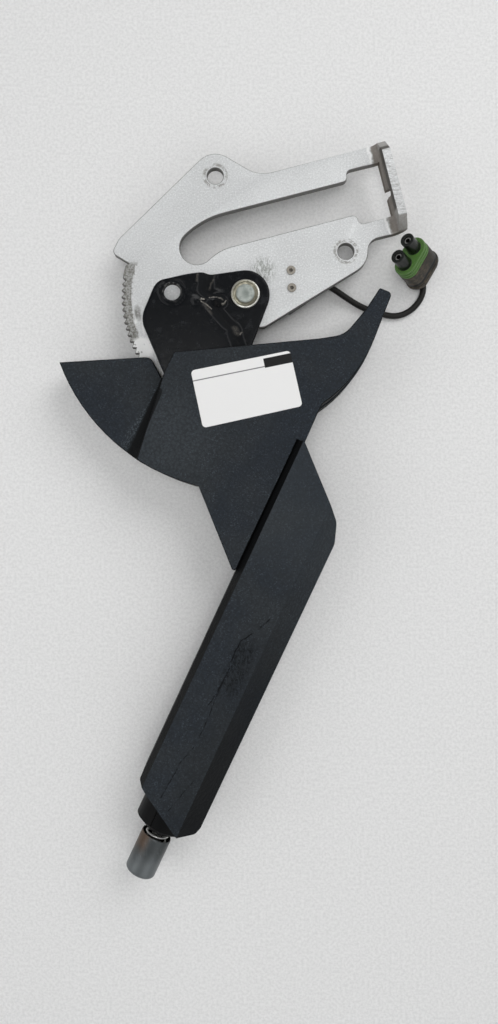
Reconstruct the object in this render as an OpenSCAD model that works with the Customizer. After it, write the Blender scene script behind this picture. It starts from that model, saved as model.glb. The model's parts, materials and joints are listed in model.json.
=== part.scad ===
// Parking brake lever: toothed mounting plate, hand lever with clevis arm,
// pawl with push-button release, hollow covers and a warning switch with its lead.
// Millimetres. The plate lies flat, +Z faces the viewer of the covers' front.
// Origin: midway between the two mounting holes, on the plate's rear face.

/* [Mounting plate] */
// Thickness of the steel plate
plate_t = 4.8; // [3:0.1:8]
// Distance between the two mounting holes
hole_pitch = 88; // [80:0.5:96]
// Diameter of the mounting holes
hole_d = 9.5; // [6:0.1:11]
// Radius of the plate around each mounting hole
lobe_r = 13; // [11:0.5:14]
// Width of the cable slot between the two arms
slot_w = 20.2; // [16:0.1:22]
// Width of the slot's wide end at the flange
slot_wide = 32.4; // [28:0.2:34]
// Overall width across the two arms at the flange
flange_w = 52.6; // [48:0.2:58]
// Height of the bent flange over the plate's rear face
flange_h = 14; // [12:0.5:20]
// Inner radius of the flange's bend
bend_r = 3.5; // [2:0.5:5]
// Width of the conduit notch in the flange
notch_w = 4.8; // [3:0.1:7]

/* [Ratchet] */
// Outer radius of the toothed sector
sector_r = 72.4; // [68:0.1:74]
// Depth of a ratchet tooth
tooth_h = 2.2; // [1.5:0.1:3]
// Angle from one tooth to the next
tooth_pitch = 3; // [3:1:3]
// Number of teeth
tooth_count = 28; // [26:1:28]

/* [Pivot and lever arm] */
// Radius of the pivot rivet's shank
pivot_r = 5; // [4:0.1:6]
// Wall of the pivot bush
bush_wall = 2; // [1.5:0.1:3]
// Outer radius of the pivot washer
washer_r = 8.3; // [7.5:0.1:10]
// Thickness of the lever arm's sheet
arm_t = 4; // [3:0.1:4.4]
// Height of the clevis end over the pivot end of the arm
joggle_h = 8; // [6:0.1:8]
// Distance from the pivot to the clevis pin hole
clevis_r = 41.6; // [38:0.1:44]
// Diameter of the clevis pin hole
clevis_d = 9.5; // [6:0.1:10]

/* [Covers] */
// Wall thickness of the covers
cover_wall = 2.5; // [2:0.1:3]
// Height of the front cover's hub over the plate's rear face
hub_front = 21; // [20.9:0.1:24]
// Height of the front cover's wedge
wedge_front = 12; // [10.5:0.1:14]
// Depth of the rear cover below the plate's rear face
hub_rear = 15; // [14:0.1:18]
// Depth of the rear cover's wedge
wedge_rear = 7; // [5.5:0.1:9]
// Radius of the covers' lower edge about the pivot
cover_r = 114; // [112:0.5:118]
// Radius of the covers' right edge about the pivot
cover_right_r = 78; // [77:0.2:80]

/* [Grip] */
// Thickness of the grip
grip_t = 40; // [38:0.5:46]
// Wall thickness of the grip halves
grip_wall = 3; // [2:0.1:3.4]
// Outer diameter of the handle tube
tube_d = 22; // [20:0.2:22.6]
// Wall of the handle tube
tube_wall = 1.6; // [1.2:0.1:2.4]
// Outer diameter of the end collar
collar_d = 32; // [30:0.5:33]

/* [Release] */
// Diameter of the push button
button_d = 18; // [17:0.1:19]
// Length of the push button
button_l = 24.3; // [20:0.1:30]
// Travel of the push button
button_travel = 7; // [5:0.5:7]
// Diameter of the release rod
rod_d = 6; // [5:0.1:7]
// Thickness of the pawl
pawl_t = 4.4; // [3.4:0.1:4.4]
// Radius of the pawl's pin
pawl_pin_r = 4; // [3:0.1:4.5]

/* [Switch lead] */
// Diameter of the switch lead
wire_d = 3.6; // [3:0.1:4.2]
// Outer diameter of a connector silo
silo_d = 7.8; // [6.6:0.1:8.4]
// Distance between the two silos
silo_pitch = 10.2; // [9:0.1:12]

/* [Hidden] */
$fn = 64;
eps = 0.01;
// Fit of parts that are fixed to each other
fit = 0.05;
// Running fit of a pin in its bore
run = 0.06;
// Free space between parts that move past each other
gap = 0.3;
// Length well past any part, for cuts
far = 400;

// Directions: the plate's two arms, the mounting holes and the grip
plate_angle = 14.5;
hole_angle = 150;
grip_angle = 65;
pivot_at = [-20.5, -48.5];

// Plate outline in the frame of its arms: u along them, v across
slot_mid = -1.6;
bend_u = 60.6;
slot_step_u = 43;
slot_r = 40.4;
slot_end_angle = 134.5;
notch_v = -4.6;
flange_chamfer = [7.4, 7];
notch_depth = 9;

// Sector: angle of the first tooth's valley, and the sector's two ends
tooth_start = 172;
shoulder_angle = 164;
sector_end = tooth_start + tooth_count * tooth_pitch;
// Share of the pitch taken by a tooth's long flank
flank_share = 0.7;

// Levels of the lever arm and the parting plane of the covers
arm_z = plate_t + 1.2;
clevis_z = arm_z + joggle_h;
part_z = plate_t + 0.6;
hub_r = 14;
bush_flange = [9, 0.9];
washer_t = 1.6;

// Grip frame: its origin on the tube's axis, t along the axis, w across
grip_at = [14.8, -170.6];
grip_z = 5;
grip_left = 23.4;
grip_right = 21.4;
tube_top = 26;
collar_end = -154;
collar_l = 35;
collar_start = collar_end + collar_l;
// Depth of the spring's bore in the collar, down to the tube's end
spring_bore_l = 13;
tube_end = collar_end + spring_bore_l;
button_gap = 3.2;
guide_t = 13;
rod_top = 33;
neck_t0 = 0;
neck_t1 = 84;
tab_t = [-24, 9];

// Pawl: tooth valley that it rests in, its pivot about the lever's pivot
pawl_valley = tooth_start + 22 * tooth_pitch;
pawl_angle = 263;
pawl_reach = 9.7;
pawl_at = polar(sector_r + pawl_reach, pawl_angle);
pawl_z = (plate_t - pawl_t) / 2;
spring_wire_r = 0.7;

// Screws: places of the cover screws about the pivot, and of the grip screws
cover_screw_at = [[-84, -59], [-30, -101], [62, -34], [-2, -128]];
grip_screw_at = [[-15.8, -88], [14.6, -52], [14.6, -100], [14.6, 22]];
screw_r = 1.9;
screw_head_r = 3.6;
boss_r = 4.5;
grip_boss_r = 3.6;

// Switch: corner of its body about the pivot, its size, and its rivets
switch_at = [17.5, -6.5];
switch_size = [19, 27.5, 9.4];
switch_cut = [9.5, 6.4];
switch_lid_t = 1.2;
plunger_y = -1.5;
plunger_z = -4.4;
plunger_r = 2.3;
plunger_tip = 14;
cam_r = 10;
cam_t = 3.4;
cam_lobe = [42, 9.6, 4];
rivet_at = [[26.6, 15.4], [27.1, 5.2]];
rivet_r = 1.9;
rivet_head = [2.6, 0.8];

// Lead: its route from the gland to the connector, in the part's frame
wire_route = [[21, -37, -6], [24, -37.3, -6.3], [28, -38.3, -7.2], [34, -41.2, -8.9],
    [41, -45.3, -10.7], [47, -48.6, -12], [53, -51.2, -12.8], [59, -53.2, -13.1],
    [65, -54.7, -13.2], [70, -55.2, -13.2], [75, -54.2, -13.2], [79.5, -51.8, -13.2],
    [83, -48.6, -13.2], [85.5, -45, -13.2], [86.9, -41.5, -13.2], [87.3, -38.4, -13.2],
    [86.9, -36.2, -13.1], [86.1, -34.7, -12.8]];
connector_at = [85.7, -29.3, -8];
connector_turn = [-34.8, -9, 60.5];

// Point on a circle, and an arc of corner points
function polar(r, a) = [r * cos(a), r * sin(a)];
function arc(r, a0, a1, n) = [for (i = [0:n]) let (a = a0 + (a1 - a0) * i / n) [r * cos(a), r * sin(a), 0]];
function flat(v) = [v.x, v.y];
function unit(v) = v / norm(v);
function left(v) = [-v.y, v.x];
function cross2(a, b) = a.x * b.y - a.y * b.x;
function turn2(p, a) = [p.x * cos(a) - p.y * sin(a), p.x * sin(a) + p.y * cos(a)];
function meet(p, a, q, b) = p + polar(1, a) * cross2(q - p, polar(1, b)) / cross2(polar(1, a), polar(1, b));

// Points that round the corner b between a and c with radius r
function corner(a, b, c, r) =
    let (u = unit(a - b), w = unit(c - b), half = acos(u * w) / 2)
    r <= 0 || half > 89 ? [b] :
    let (m = b + unit(u + w) * r / sin(half),
        s = b + u * r / tan(half) - m,
        turn = (cross2(u, w) > 0 ? -1 : 1) * (180 - 2 * half),
        n = max(2, ceil(abs(turn) / 12)))
    [for (i = [0:n]) m + turn2(s, turn * i / n)];

// Closed outline of corners [x, y, radius], with its corners rounded
function rounded(p) =
    let (n = len(p))
    [for (i = [0:n - 1]) each corner(flat(p[(i + n - 1) % n]), flat(p[i]), flat(p[(i + 1) % n]), p[i][2])];

// The same outline, counter-clockwise, moved inwards by d
function inset(p, d) =
    let (n = len(p))
    [for (i = [0:n - 1])
        let (b = flat(p[i]), e = unit(b - flat(p[(i + n - 1) % n])), f = unit(flat(p[(i + 1) % n]) - b),
            q = b + d * (left(e) + left(f)) / (1 + e * f),
            r = p[i][2])
        [q.x, q.y, r == 0 ? 0 : cross2(e, f) > 0 ? max(r - d, 0.2) : r + d]];

// Closed tube of radius r along the points p, with flat ends
module sweep(p, r, sides) {
    n = len(p);
    rings = [for (i = [0:n - 1])
        let (d = unit(p[min(i + 1, n - 1)] - p[max(i - 1, 0)]),
            side = unit(cross(d, [0, 0, 1])),
            up = cross(side, d))
        each [for (k = [0:sides - 1]) p[i] + r * (side * cos(360 * k / sides) + up * sin(360 * k / sides))]];
    walls = [for (i = [0:n - 2], k = [0:sides - 1])
        let (a = i * sides, b = a + sides, m = (k + 1) % sides)
        each [[a + k, b + k, b + m], [a + k, b + m, a + m]]];
    start = [for (k = [1:sides - 2]) [0, k, k + 1]];
    last = (n - 1) * sides;
    end = [for (k = [1:sides - 2]) [last, last + k + 1, last + k]];
    polyhedron(points = rings, faces = [for (f = concat(walls, start, end)) [f[0], f[2], f[1]]]);
}

// Helix of mean radius r from z0 to z1
function helix(r, z0, z1, turns, steps) =
    [for (i = [0:turns * steps]) [r * cos(360 * i / steps), r * sin(360 * i / steps),
        z0 + (z1 - z0) * i / (turns * steps)]];

module ring(r_out, r_in, h) {
    difference() {
        cylinder(r = r_out, h = h);
        translate([0, 0, -eps]) cylinder(r = r_in, h = h + 2 * eps);
    }
}

// Frames: the lever's pivot, the plate's arms, the grip, a line along the grip's axis
module at_pivot() translate([pivot_at.x, pivot_at.y, 0]) children();
module in_plate() rotate(plate_angle) children();
module in_grip() at_pivot() translate([grip_at.x, grip_at.y, grip_z]) rotate(grip_angle - 90) children();
module on_axis(t) in_grip() translate([0, t, 0]) rotate([-90, 0, 0]) children();
module in_connector() translate(connector_at) rotate(connector_turn) children();
function grip_pt(w, t) = let (q = grip_at + turn2([w, t], grip_angle - 90)) q;

// Plate: mounting holes, sector and outline
hole_at = [polar(hole_pitch / 2, hole_angle), polar(hole_pitch / 2, hole_angle + 180)];
function arm_pt(u, v) = turn2([u, v], plate_angle);
upper_v = slot_mid + flange_w / 2;
lower_v = slot_mid - flange_w / 2;
lug_tip = pivot_at + polar(sector_r + 9.7, 161.8);
lug_knee = hole_at[0] + lobe_r * polar(1, 134.3) - 66 * polar(1, 44.3);
lobe_top = meet(hole_at[0] + lobe_r * polar(1, 134.3), 44.3, hole_at[0] + lobe_r * polar(1, 59.8), -30.2);
lobe_arm = meet(hole_at[0] + lobe_r * polar(1, 59.8), -30.2, arm_pt(0, upper_v), plate_angle);
heel = pivot_at + [10.3, -17.7];
lobe_side = meet(hole_at[1] + lobe_r * polar(1, 0), 90, hole_at[1] + lobe_r * polar(1, -58.5), 31.5);
lobe_flange = meet(hole_at[1] + lobe_r * polar(1, 0), 90, arm_pt(0, lower_v), plate_angle);
heel_line = meet(hole_at[1] + lobe_r * polar(1, -58.5), 31.5, heel, 61);

teeth = [for (i = [0:tooth_count - 1])
    let (a = tooth_start + i * tooth_pitch)
    each [pivot_at + polar(sector_r - tooth_h, a), pivot_at + polar(sector_r, a + flank_share * tooth_pitch)]];

plate_outline = concat(
    [for (p = rounded([
        [heel_line.x, heel_line.y, 6], [lobe_side.x, lobe_side.y, lobe_r],
        [lobe_flange.x, lobe_flange.y, 7.5],
        concat(arm_pt(bend_u, lower_v), 0), concat(arm_pt(bend_u, upper_v), 0),
        [lobe_arm.x, lobe_arm.y, 18], [lobe_top.x, lobe_top.y, lobe_r],
        [lug_knee.x, lug_knee.y, 10], [lug_tip.x, lug_tip.y, 3],
        concat(pivot_at + polar(sector_r - 1.8, shoulder_angle), 0),
        concat(pivot_at + polar(sector_r, shoulder_angle + 1.5), 0)])) p],
    [pivot_at + polar(sector_r, tooth_start - 2), pivot_at + polar(sector_r, tooth_start - 0.8)],
    teeth,
    [pivot_at + polar(sector_r - tooth_h, sector_end), pivot_at + polar(sector_r, sector_end + 0.8)]);

// Cable slot: curved about the pivot at its closed end, straight, then wider up to the flange
pivot_v = turn2(pivot_at, -plate_angle).y;
slot_out = slot_r + slot_w / 2;
slot_in = slot_r - slot_w / 2;
slot_round = 3;
slot_cap = [for (p = arc(slot_w / 2, slot_end_angle, slot_end_angle + 180, 14))
    concat(pivot_at + polar(slot_r, slot_end_angle) + flat(p), 0)];
slot_outline = concat(
    [concat(arm_pt(bend_u + 1, slot_mid + slot_wide / 2), 0),
        concat(arm_pt(slot_step_u, slot_mid + slot_wide / 2), slot_round),
        concat(arm_pt(slot_step_u, pivot_v + slot_out), slot_round)],
    [for (p = arc(slot_out, 90 + plate_angle, slot_end_angle - 4, 7)) concat(pivot_at + flat(p), 0)],
    slot_cap,
    [for (p = arc(slot_in, slot_end_angle - 4, 90 + plate_angle, 7)) concat(pivot_at + flat(p), 0)],
    [concat(arm_pt(slot_step_u, pivot_v + slot_in), slot_round),
        concat(arm_pt(slot_step_u, slot_mid - slot_wide / 2), slot_round),
        concat(arm_pt(bend_u + 1, slot_mid - slot_wide / 2), 0)]);

// The same points in the frame of the plate's arms
function along_arms(p) = [for (q = p) turn2(q, -plate_angle)];

// Flange: its bend's section in u and z, then the cuts at its corners, its foot and the conduit notch
bend_out = bend_r + plate_t;
flange_section = concat([for (p = arc(bend_out, -90, 0, 10)) flat(p) + [0, bend_out]],
    [[bend_out, flange_h], [bend_r, flange_h]], [for (p = arc(bend_r, 0, -90, 8)) flat(p) + [0, bend_out]]);
flange_foot = bend_r - 1;
notch_shape = concat([[-notch_w / 2, -1], [notch_w / 2, -1]],
    [for (p = arc(notch_w / 2, 0, 180, 12)) flat(p) + [0, notch_depth - notch_w / 2]]);

module flange() {
    half = flange_w / 2;
    difference() {
        translate([bend_u, slot_mid + half, 0]) rotate([90, 0, 0]) linear_extrude(flange_w) polygon(flange_section);
        for (m = [-1, 1])
            translate([bend_u, slot_mid, flange_h]) rotate([90, 0, 90]) linear_extrude(far)
                polygon([[m * (half - flange_chamfer[0]), 0], [m * (half + 1), -flange_chamfer[1] - 0.9],
                    [m * (half + 1), 1], [m * (half - flange_chamfer[0]), 1]]);
        translate([bend_u - 1, slot_mid - slot_wide / 2, -1]) cube([flange_foot + 1, slot_wide, far]);
        translate([bend_u, notch_v, 0]) rotate([90, 0, 90]) linear_extrude(far) polygon(notch_shape);
    }
}

module ratchet_plate() color("silver") difference() {
    in_plate() {
        linear_extrude(plate_t) difference() {
            polygon(along_arms(plate_outline));
            polygon(along_arms(rounded(slot_outline)));
        }
        flange();
    }
    for (p = hole_at) translate([p.x, p.y, -eps]) cylinder(d = hole_d, h = plate_t + 2 * eps);
    at_pivot() translate([0, 0, -eps]) cylinder(r = pivot_r + bush_wall + fit, h = plate_t + 2 * eps);
    at_pivot() for (p = rivet_at) translate([p.x, p.y, -eps]) cylinder(r = rivet_r + fit, h = plate_t + 2 * eps);
}

// Pivot: a rivet fixed in the arm turns in a flanged bush pressed into the plate
module pivot_bush() color("goldenrod") at_pivot() difference() {
    union() {
        cylinder(r = pivot_r + bush_wall, h = plate_t);
        translate([0, 0, plate_t]) cylinder(r = bush_flange[0], h = bush_flange[1]);
    }
    translate([0, 0, -eps]) cylinder(r = pivot_r + run, h = far);
}

rivet_front = arm_z + arm_t + washer_t;
cam_z = -0.6 - cam_t;
module pivot_rivet() color("gainsboro") at_pivot() {
    translate([0, 0, cam_z]) cylinder(r = pivot_r, h = rivet_front - cam_z);
    translate([0, 0, rivet_front]) cylinder(r1 = pivot_r + 0.3, r2 = pivot_r - 0.4, h = 0.9);
    translate([0, 0, cam_z - 2.4]) cylinder(r1 = pivot_r + 1.6, r2 = pivot_r + 3, h = 2.4);
}

module pivot_washer() color("darkgray") at_pivot() translate([0, 0, arm_z + arm_t])
    ring(washer_r, pivot_r + fit, washer_t);

module switch_cam() color("dimgray") at_pivot() translate([0, 0, cam_z]) difference() {
    linear_extrude(cam_t) union() {
        circle(r = cam_r);
        rotate(cam_lobe[0]) translate([cam_lobe[1], 0]) circle(r = cam_lobe[2]);
    }
    translate([0, 0, -eps]) cylinder(r = pivot_r + fit, h = cam_t + 2 * eps);
}

// Lever arm: pivot end low on the plate, clevis end raised by a joggle
joggle_a = [[-27, 9.2], [-26.5, -3], [-10, -30], [-6, -44]];
joggle_b = [[-18.5, 9.6], [-13, -3], [-1.5, -30], [2.5, -44]];
clevis_at = polar(clevis_r, 181);
arm_raised = [[joggle_a[3].x, joggle_a[3].y, 0], [joggle_a[2].x, joggle_a[2].y, 0],
    [joggle_a[1].x, joggle_a[1].y, 0], [joggle_a[0].x, joggle_a[0].y, 0],
    [-33, 9.4, 8], [-50.5, 5.6, 9], [-59.5, -16, 14], [-45.6, -48.6, 1.5], [-34, -58, 4]];
tab_left = grip_pt(-17, tab_t[0]);
tab_low = grip_pt(-7, tab_t[0]);
tab_high = grip_pt(-7, tab_t[1]);
arm_low = [[joggle_b[0].x, joggle_b[0].y, 0], [joggle_b[1].x, joggle_b[1].y, 0],
    [joggle_b[2].x, joggle_b[2].y, 0], [joggle_b[3].x, joggle_b[3].y, 0],
    [-20, -62, 8], [-22.5, -92, 8], [-13.5, -128, 6], concat(grip_pt(-17, 2), 4),
    concat(tab_left, 3), concat(tab_low, 1), concat(tab_high, 1), concat(grip_pt(-12.5, tab_t[1]), 0),
    concat(grip_pt(-13.5, 32), 6), [10, -92, 12],
    [3.5, -30, 10], [12.5, -6.2, 0], [9.9, 9.9, 0], [0, hub_r, 0]];

module joggle_wall(i) hull() {
    translate([0, 0, clevis_z]) linear_extrude(arm_t) polygon([joggle_a[i], joggle_a[i + 1],
        joggle_a[i + 1] - [0.2, 0], joggle_a[i] - [0.2, 0]]);
    translate([0, 0, arm_z]) linear_extrude(arm_t) polygon([joggle_b[i], joggle_b[i + 1],
        joggle_b[i + 1] + [0.2, 0], joggle_b[i] + [0.2, 0]]);
}

module lever_arm() color("#181818") at_pivot() difference() {
    union() {
        translate([0, 0, arm_z]) linear_extrude(arm_t) union() {
            polygon(rounded(arm_low));
            circle(r = hub_r);
        }
        translate([0, 0, clevis_z]) linear_extrude(arm_t) polygon(rounded(arm_raised));
        for (i = [0:2]) joggle_wall(i);
    }
    translate([0, 0, arm_z - eps]) cylinder(r = pivot_r + fit, h = arm_t + 2 * eps);
    translate([clevis_at.x, clevis_at.y, clevis_z - eps]) cylinder(d = clevis_d, h = arm_t + 2 * eps);
    translate([pawl_at.x, pawl_at.y, arm_z - eps]) cylinder(r = pawl_pin_r + fit, h = arm_t + 2 * eps);
    translate([cover_screw_at[3].x, cover_screw_at[3].y, arm_z - eps])
        cylinder(r = boss_r + gap, h = arm_t + 2 * eps);
}

// Handle tube: the arm's tab sits in a window in its side
tube_r = tube_d / 2;
module handle_tube() color("dimgray") difference() {
    on_axis(tube_end) ring(tube_r, tube_r - tube_wall, tube_top - tube_end);
    in_grip() translate([-tube_r - 1, tab_t[0] - fit, arm_z - grip_z - fit])
        cube([tube_r, tab_t[1] - tab_t[0] + 2 * fit, arm_t + 2 * fit]);
}

module tube_guide() color("ivory") difference() {
    union() {
        on_axis(guide_t) cylinder(r = tube_r - tube_wall - fit, h = tube_top - guide_t);
        on_axis(tube_top) cylinder(r = tube_r, h = 2);
    }
    on_axis(guide_t - eps) cylinder(r = rod_d / 2 + run, h = far);
}

// Covers: outline about the pivot, counter-clockwise from the wedge's tip
tip_angle = 200.3;
hub_angle = 256.6;
neck_low = grip_pt(-grip_left, neck_t0);
neck_high = grip_pt(-grip_left, neck_t1);
cover_low = concat(arc(cover_r, tip_angle, hub_angle, 16), [concat(neck_low, 1.5), concat(neck_high, 0),
    [33.5, -86.5, 0], [41.5, -68.5, 3]]);
cover_top = [[-40, -35.4, 2], [-47.4, -50, 1], [-54.6, -36.4, 5]];
front_outline = concat(cover_low, arc(cover_right_r, -56, -21, 8),
    [[82.8, -2.2, 2.5], [75.8, 0.6, 1], [68.2, -11, 14], [56, -25.6, 14], [42, -27.8, 10]], cover_top);
rear_outline = concat(cover_low, arc(cover_right_r + 0.8, -56, -21, 8), [[75.6, -22, 2.5], [60, -22.4, 6],
    [42, -27.8, 10]], cover_top);

// Step from the wedge up to the hub: a slope along the grip's direction that widens downwards
step_w = -108.8;
step_ends = [[15, 10.9], [99, 0.1]];
module step_cut(low, high, d) at_pivot() translate([grip_at.x, grip_at.y, 0]) rotate(grip_angle - 90) hull()
    for (e = step_ends) {
        lead = d * tan(atan2(high - low, e[1]) / 2);
        translate([0, e[0], 0]) rotate([90, 0, 0]) linear_extrude(0.1)
            polygon([[-far, low - d], [step_w + lead, low - d], [step_w + e[1] + lead, high - d],
                [step_w + e[1] + lead, high + 1], [-far, high + 1]]);
    }

module cover_block(outline, d, z0, z1) at_pivot() translate([0, 0, z0]) linear_extrude(z1 - z0)
    polygon(rounded(d > 0 ? inset(outline, d) : outline));

// Room for the arm and the pawl's tail between the covers and the grip
module tail_passage() in_grip()
    translate([-grip_left - 5, neck_t0 + 3, -grip_z - 1]) cube([11, neck_t1 - neck_t0 - 6, arm_z + arm_t + 2]);

// Room for the plate, which swings through the covers' upper side
module plate_sweep() at_pivot() translate([0, 0, -0.8]) linear_extrude(part_z + 0.8 + eps)
    polygon(concat([[0, 0]], [for (p = arc(lug_reach, 150, 214, 8)) flat(p)],
        [for (p = arc(sector_r + 1.2, 214, 325, 14)) flat(p)]));
lug_reach = norm(lug_tip - pivot_at) + 1.2;

// Opening in the front cover's edge for the arm
module arm_opening() at_pivot() translate([0, 0, part_z - eps])
    linear_extrude(clevis_z + arm_t + gap - part_z)
        polygon([grip_pt(step_w + 1.2, 110), grip_pt(step_w + 1.2, 83.6), grip_pt(step_w + 4, 80.8),
            [-34, -60.5], [6, -52], [6, -24]]);

module front_cover() color("#20242a") {
    difference() {
        union() {
            difference() {
                cover_block(front_outline, 0, part_z, hub_front);
                step_cut(wedge_front, hub_front, 0);
                difference() {
                    cover_block(front_outline, cover_wall, part_z - eps, hub_front - cover_wall);
                    step_cut(wedge_front, hub_front, cover_wall);
                }
            }
            for (i = [0:3]) at_pivot() translate([cover_screw_at[i].x, cover_screw_at[i].y, part_z])
                cylinder(r = boss_r, h = (i == 0 ? wedge_front : hub_front) - part_z - 1);
        }
        tail_passage();
        arm_opening();
        for (i = [0:3]) at_pivot() translate([cover_screw_at[i].x, cover_screw_at[i].y, part_z - eps])
            cylinder(r = screw_r + fit, h = screw_reach(i) + 0.5);
    }
}
function screw_reach(i) = (i == 0 ? wedge_front : hub_front) - part_z - 3;
function screw_seat(i) = (i == 0 ? -wedge_rear : -hub_rear) + cover_wall;

module rear_cover() color("#1c1f25") difference() {
    union() {
        difference() {
            cover_block(rear_outline, 0, -hub_rear, part_z);
            mirror([0, 0, 1]) step_cut(wedge_rear, hub_rear, 0);
            difference() {
                cover_block(rear_outline, cover_wall, cover_wall - hub_rear, part_z + eps);
                mirror([0, 0, 1]) step_cut(wedge_rear, hub_rear, cover_wall);
            }
        }
        for (i = [0:3]) at_pivot() translate([cover_screw_at[i].x, cover_screw_at[i].y, screw_seat(i) - 1])
            cylinder(r = boss_r, h = part_z - screw_seat(i) + 1);
    }
    tail_passage();
    difference() {
        plate_sweep();
        for (p = cover_screw_at) at_pivot() translate([p.x, p.y, -hub_rear]) cylinder(r = boss_r, h = far);
    }
    for (i = [0:3]) at_pivot() translate([cover_screw_at[i].x, cover_screw_at[i].y, 0]) {
        translate([0, 0, -far]) cylinder(r = screw_head_r + gap, h = far + screw_seat(i));
        translate([0, 0, -far / 2]) cylinder(r = screw_r + fit, h = far);
    }
}

module cover_screws() color("silver") for (i = [0:3])
    at_pivot() translate([cover_screw_at[i].x, cover_screw_at[i].y, screw_seat(i)]) {
        cylinder(r = screw_r, h = part_z + screw_reach(i) - screw_seat(i));
        translate([0, 0, -1.8]) ring_head();
    }
module ring_head() difference() {
    cylinder(r = screw_head_r, h = 1.8);
    translate([0, 0, -eps]) cylinder(r = 1.4, h = 1, $fn = 6);
}

// Grip: a plan outline and a cross-section meet, and two halves part on the tube's axis
grip_outline = [[-grip_left + 0.6, -127, 1.5], [-17.2, -131, 1], [9.5, -146.6, 1], [grip_right - 2.3, -143.5, 3],
    [grip_right - 0.8, -139.6, 4],
    [grip_right + 0.2, 39.4, 8], [17, 51, 8], [-18.9, 84, 2], [-grip_left, neck_t1, 0.5]];
half_t = grip_t / 2;
grip_section = [[-30, -half_t + 12.6], [-30, half_t - 18], [-19.7, half_t], [9.5, half_t], [30, half_t - 18.5],
    [30, -half_t + 15], [15, -half_t], [-17, -half_t]];

module grip_block(d) intersection() {
    translate([0, 0, -half_t]) linear_extrude(grip_t)
        polygon(rounded(d > 0 ? inset(grip_outline, d) : grip_outline));
    rotate([90, 0, 0]) linear_extrude(far, center = true)
        polygon([for (p = inset([for (q = reverse4(grip_section)) concat(q, 0)], d)) flat(p)]);
}
function reverse4(v) = [for (i = [len(v) - 1:-1:0]) v[i]];

rib_t = [-105, -70, -32];
module grip_half(up) in_grip() difference() {
    union() {
        difference() {
            grip_block(0);
            grip_block(grip_wall);
        }
        intersection() {
            grip_block(grip_wall / 2);
            for (t = rib_t) translate([-far / 2, t, -far / 2]) cube([far, 3, far]);
        }
        for (p = grip_screw_at) intersection() {
            grip_block(grip_wall / 2);
            translate([p.x, p.y, -half_t]) cylinder(r = grip_boss_r, h = grip_t);
        }
    }
    translate([-far / 2, -far / 2, up ? -far : 0]) cube([far, far, far]);
    translate([0, collar_end - 20, 0]) rotate([-90, 0, 0])
        cylinder(r = collar_d / 2 + fit, h = collar_start + fit - collar_end + 20);
    translate([0, collar_end, 0]) rotate([-90, 0, 0]) cylinder(r = tube_r + fit, h = rod_room - collar_end);
    translate([-grip_left - 5, neck_t0 + 3, -grip_z - 1]) cube([11, neck_t1 - neck_t0 - 6, arm_z + arm_t + 2]);
    for (p = grip_screw_at) translate([p.x, p.y, 0]) {
        translate([0, 0, -grip_screw_l / 2]) cylinder(r = screw_r + fit, h = grip_screw_l + 0.5);
        translate([0, 0, -far]) cylinder(r = screw_r + fit, h = far);
        translate([0, 0, -far - grip_seat]) cylinder(r = screw_head_r - 1 + gap, h = far);
    }
}
grip_screw_l = 24;
rod_room = rod_top + button_travel + 4;
grip_seat = 9;
module grip_front() color("#23262b") grip_half(true);
module grip_rear() color("#1f2227") grip_half(false);

module grip_screws() color("silver") in_grip() for (p = grip_screw_at) translate([p.x, p.y, -grip_seat]) {
    cylinder(r = screw_r, h = grip_screw_l / 2 + grip_seat);
    translate([0, 0, -1.8]) cylinder(r = screw_head_r - 1, h = 1.8);
}

// End collar: the button's rim runs in a groove round its nose; the spring's seat is on the tube's end
collar_cone = 5;
button_wall = 0.6;
nose_r = button_d / 2 - button_wall - gap;
nose_wall = 0.8;
collar_slit = [0.8, 14, 2.2];
collar_slit_w = -6.4;
module end_collar() color("#2a2c2f") difference() {
    union() {
        on_axis(collar_end) cylinder(r1 = nose_r, r2 = collar_d / 2, h = collar_cone);
        on_axis(collar_end + collar_cone) cylinder(d = collar_d, h = collar_start - collar_end - collar_cone);
    }
    on_axis(collar_end - eps) cylinder(r = nose_r - nose_wall, h = spring_bore_l + 2 * eps);
    on_axis(tube_end) cylinder(r = tube_r + fit, h = far);
    on_axis(collar_end - eps) ring(button_d / 2 + gap, nose_r, button_travel - button_gap + 2 * gap);
    in_grip() translate([collar_slit_w, collar_end + collar_cone, collar_d / 2 - collar_slit.z])
        cube([collar_slit.x, collar_slit.y, collar_d]);
}

module spring_seat() color("gray") on_axis(tube_end) ring(tube_r - tube_wall - fit, rod_d / 2 + gap, 2);

// Pawl: nose in a tooth valley, pin, and a tail that the release rod lifts
tail_w = [-8.5, 5];
tail_l = 8;
tail_pt = [for (w = tail_w) grip_pt(w, rod_top + gap)];
tail_far = [for (w = tail_w) grip_pt(w, rod_top + gap + tail_l)];
nose_clear = 0.35;
nose_root = polar(sector_r - tooth_h + nose_clear, pawl_valley + 0.1);
nose_back = polar(sector_r + 4.5, pawl_valley + flank_share * tooth_pitch * 1.95);
nose_face = polar(sector_r + 5, pawl_valley - 0.55 * tooth_pitch);
pawl_outline = [concat(nose_root, 0), concat(nose_face, 3), concat(polar(sector_r + 10, 245.6), 8),
    concat(polar(sector_r + 21.2, 256.4), 8), concat(polar(sector_r + 20.9, 265.1), 8),
    concat(tail_pt[0] + [-1, 4], 4), concat(tail_pt[0], 1), concat(tail_pt[1], 1), concat(tail_far[1], 3),
    concat(polar(sector_r + 11.8, 274.1), 12), concat(polar(sector_r + 3.4, 266.2), 3),
    concat(polar(sector_r + 8.3, 256.4), 6), concat(nose_back, 3)];

module pawl() color("slategray") at_pivot() translate([0, 0, pawl_z]) difference() {
    linear_extrude(pawl_t) polygon(rounded(pawl_outline));
    translate([pawl_at.x, pawl_at.y, -eps]) cylinder(r = pawl_pin_r + run, h = pawl_t + 2 * eps);
}

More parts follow.
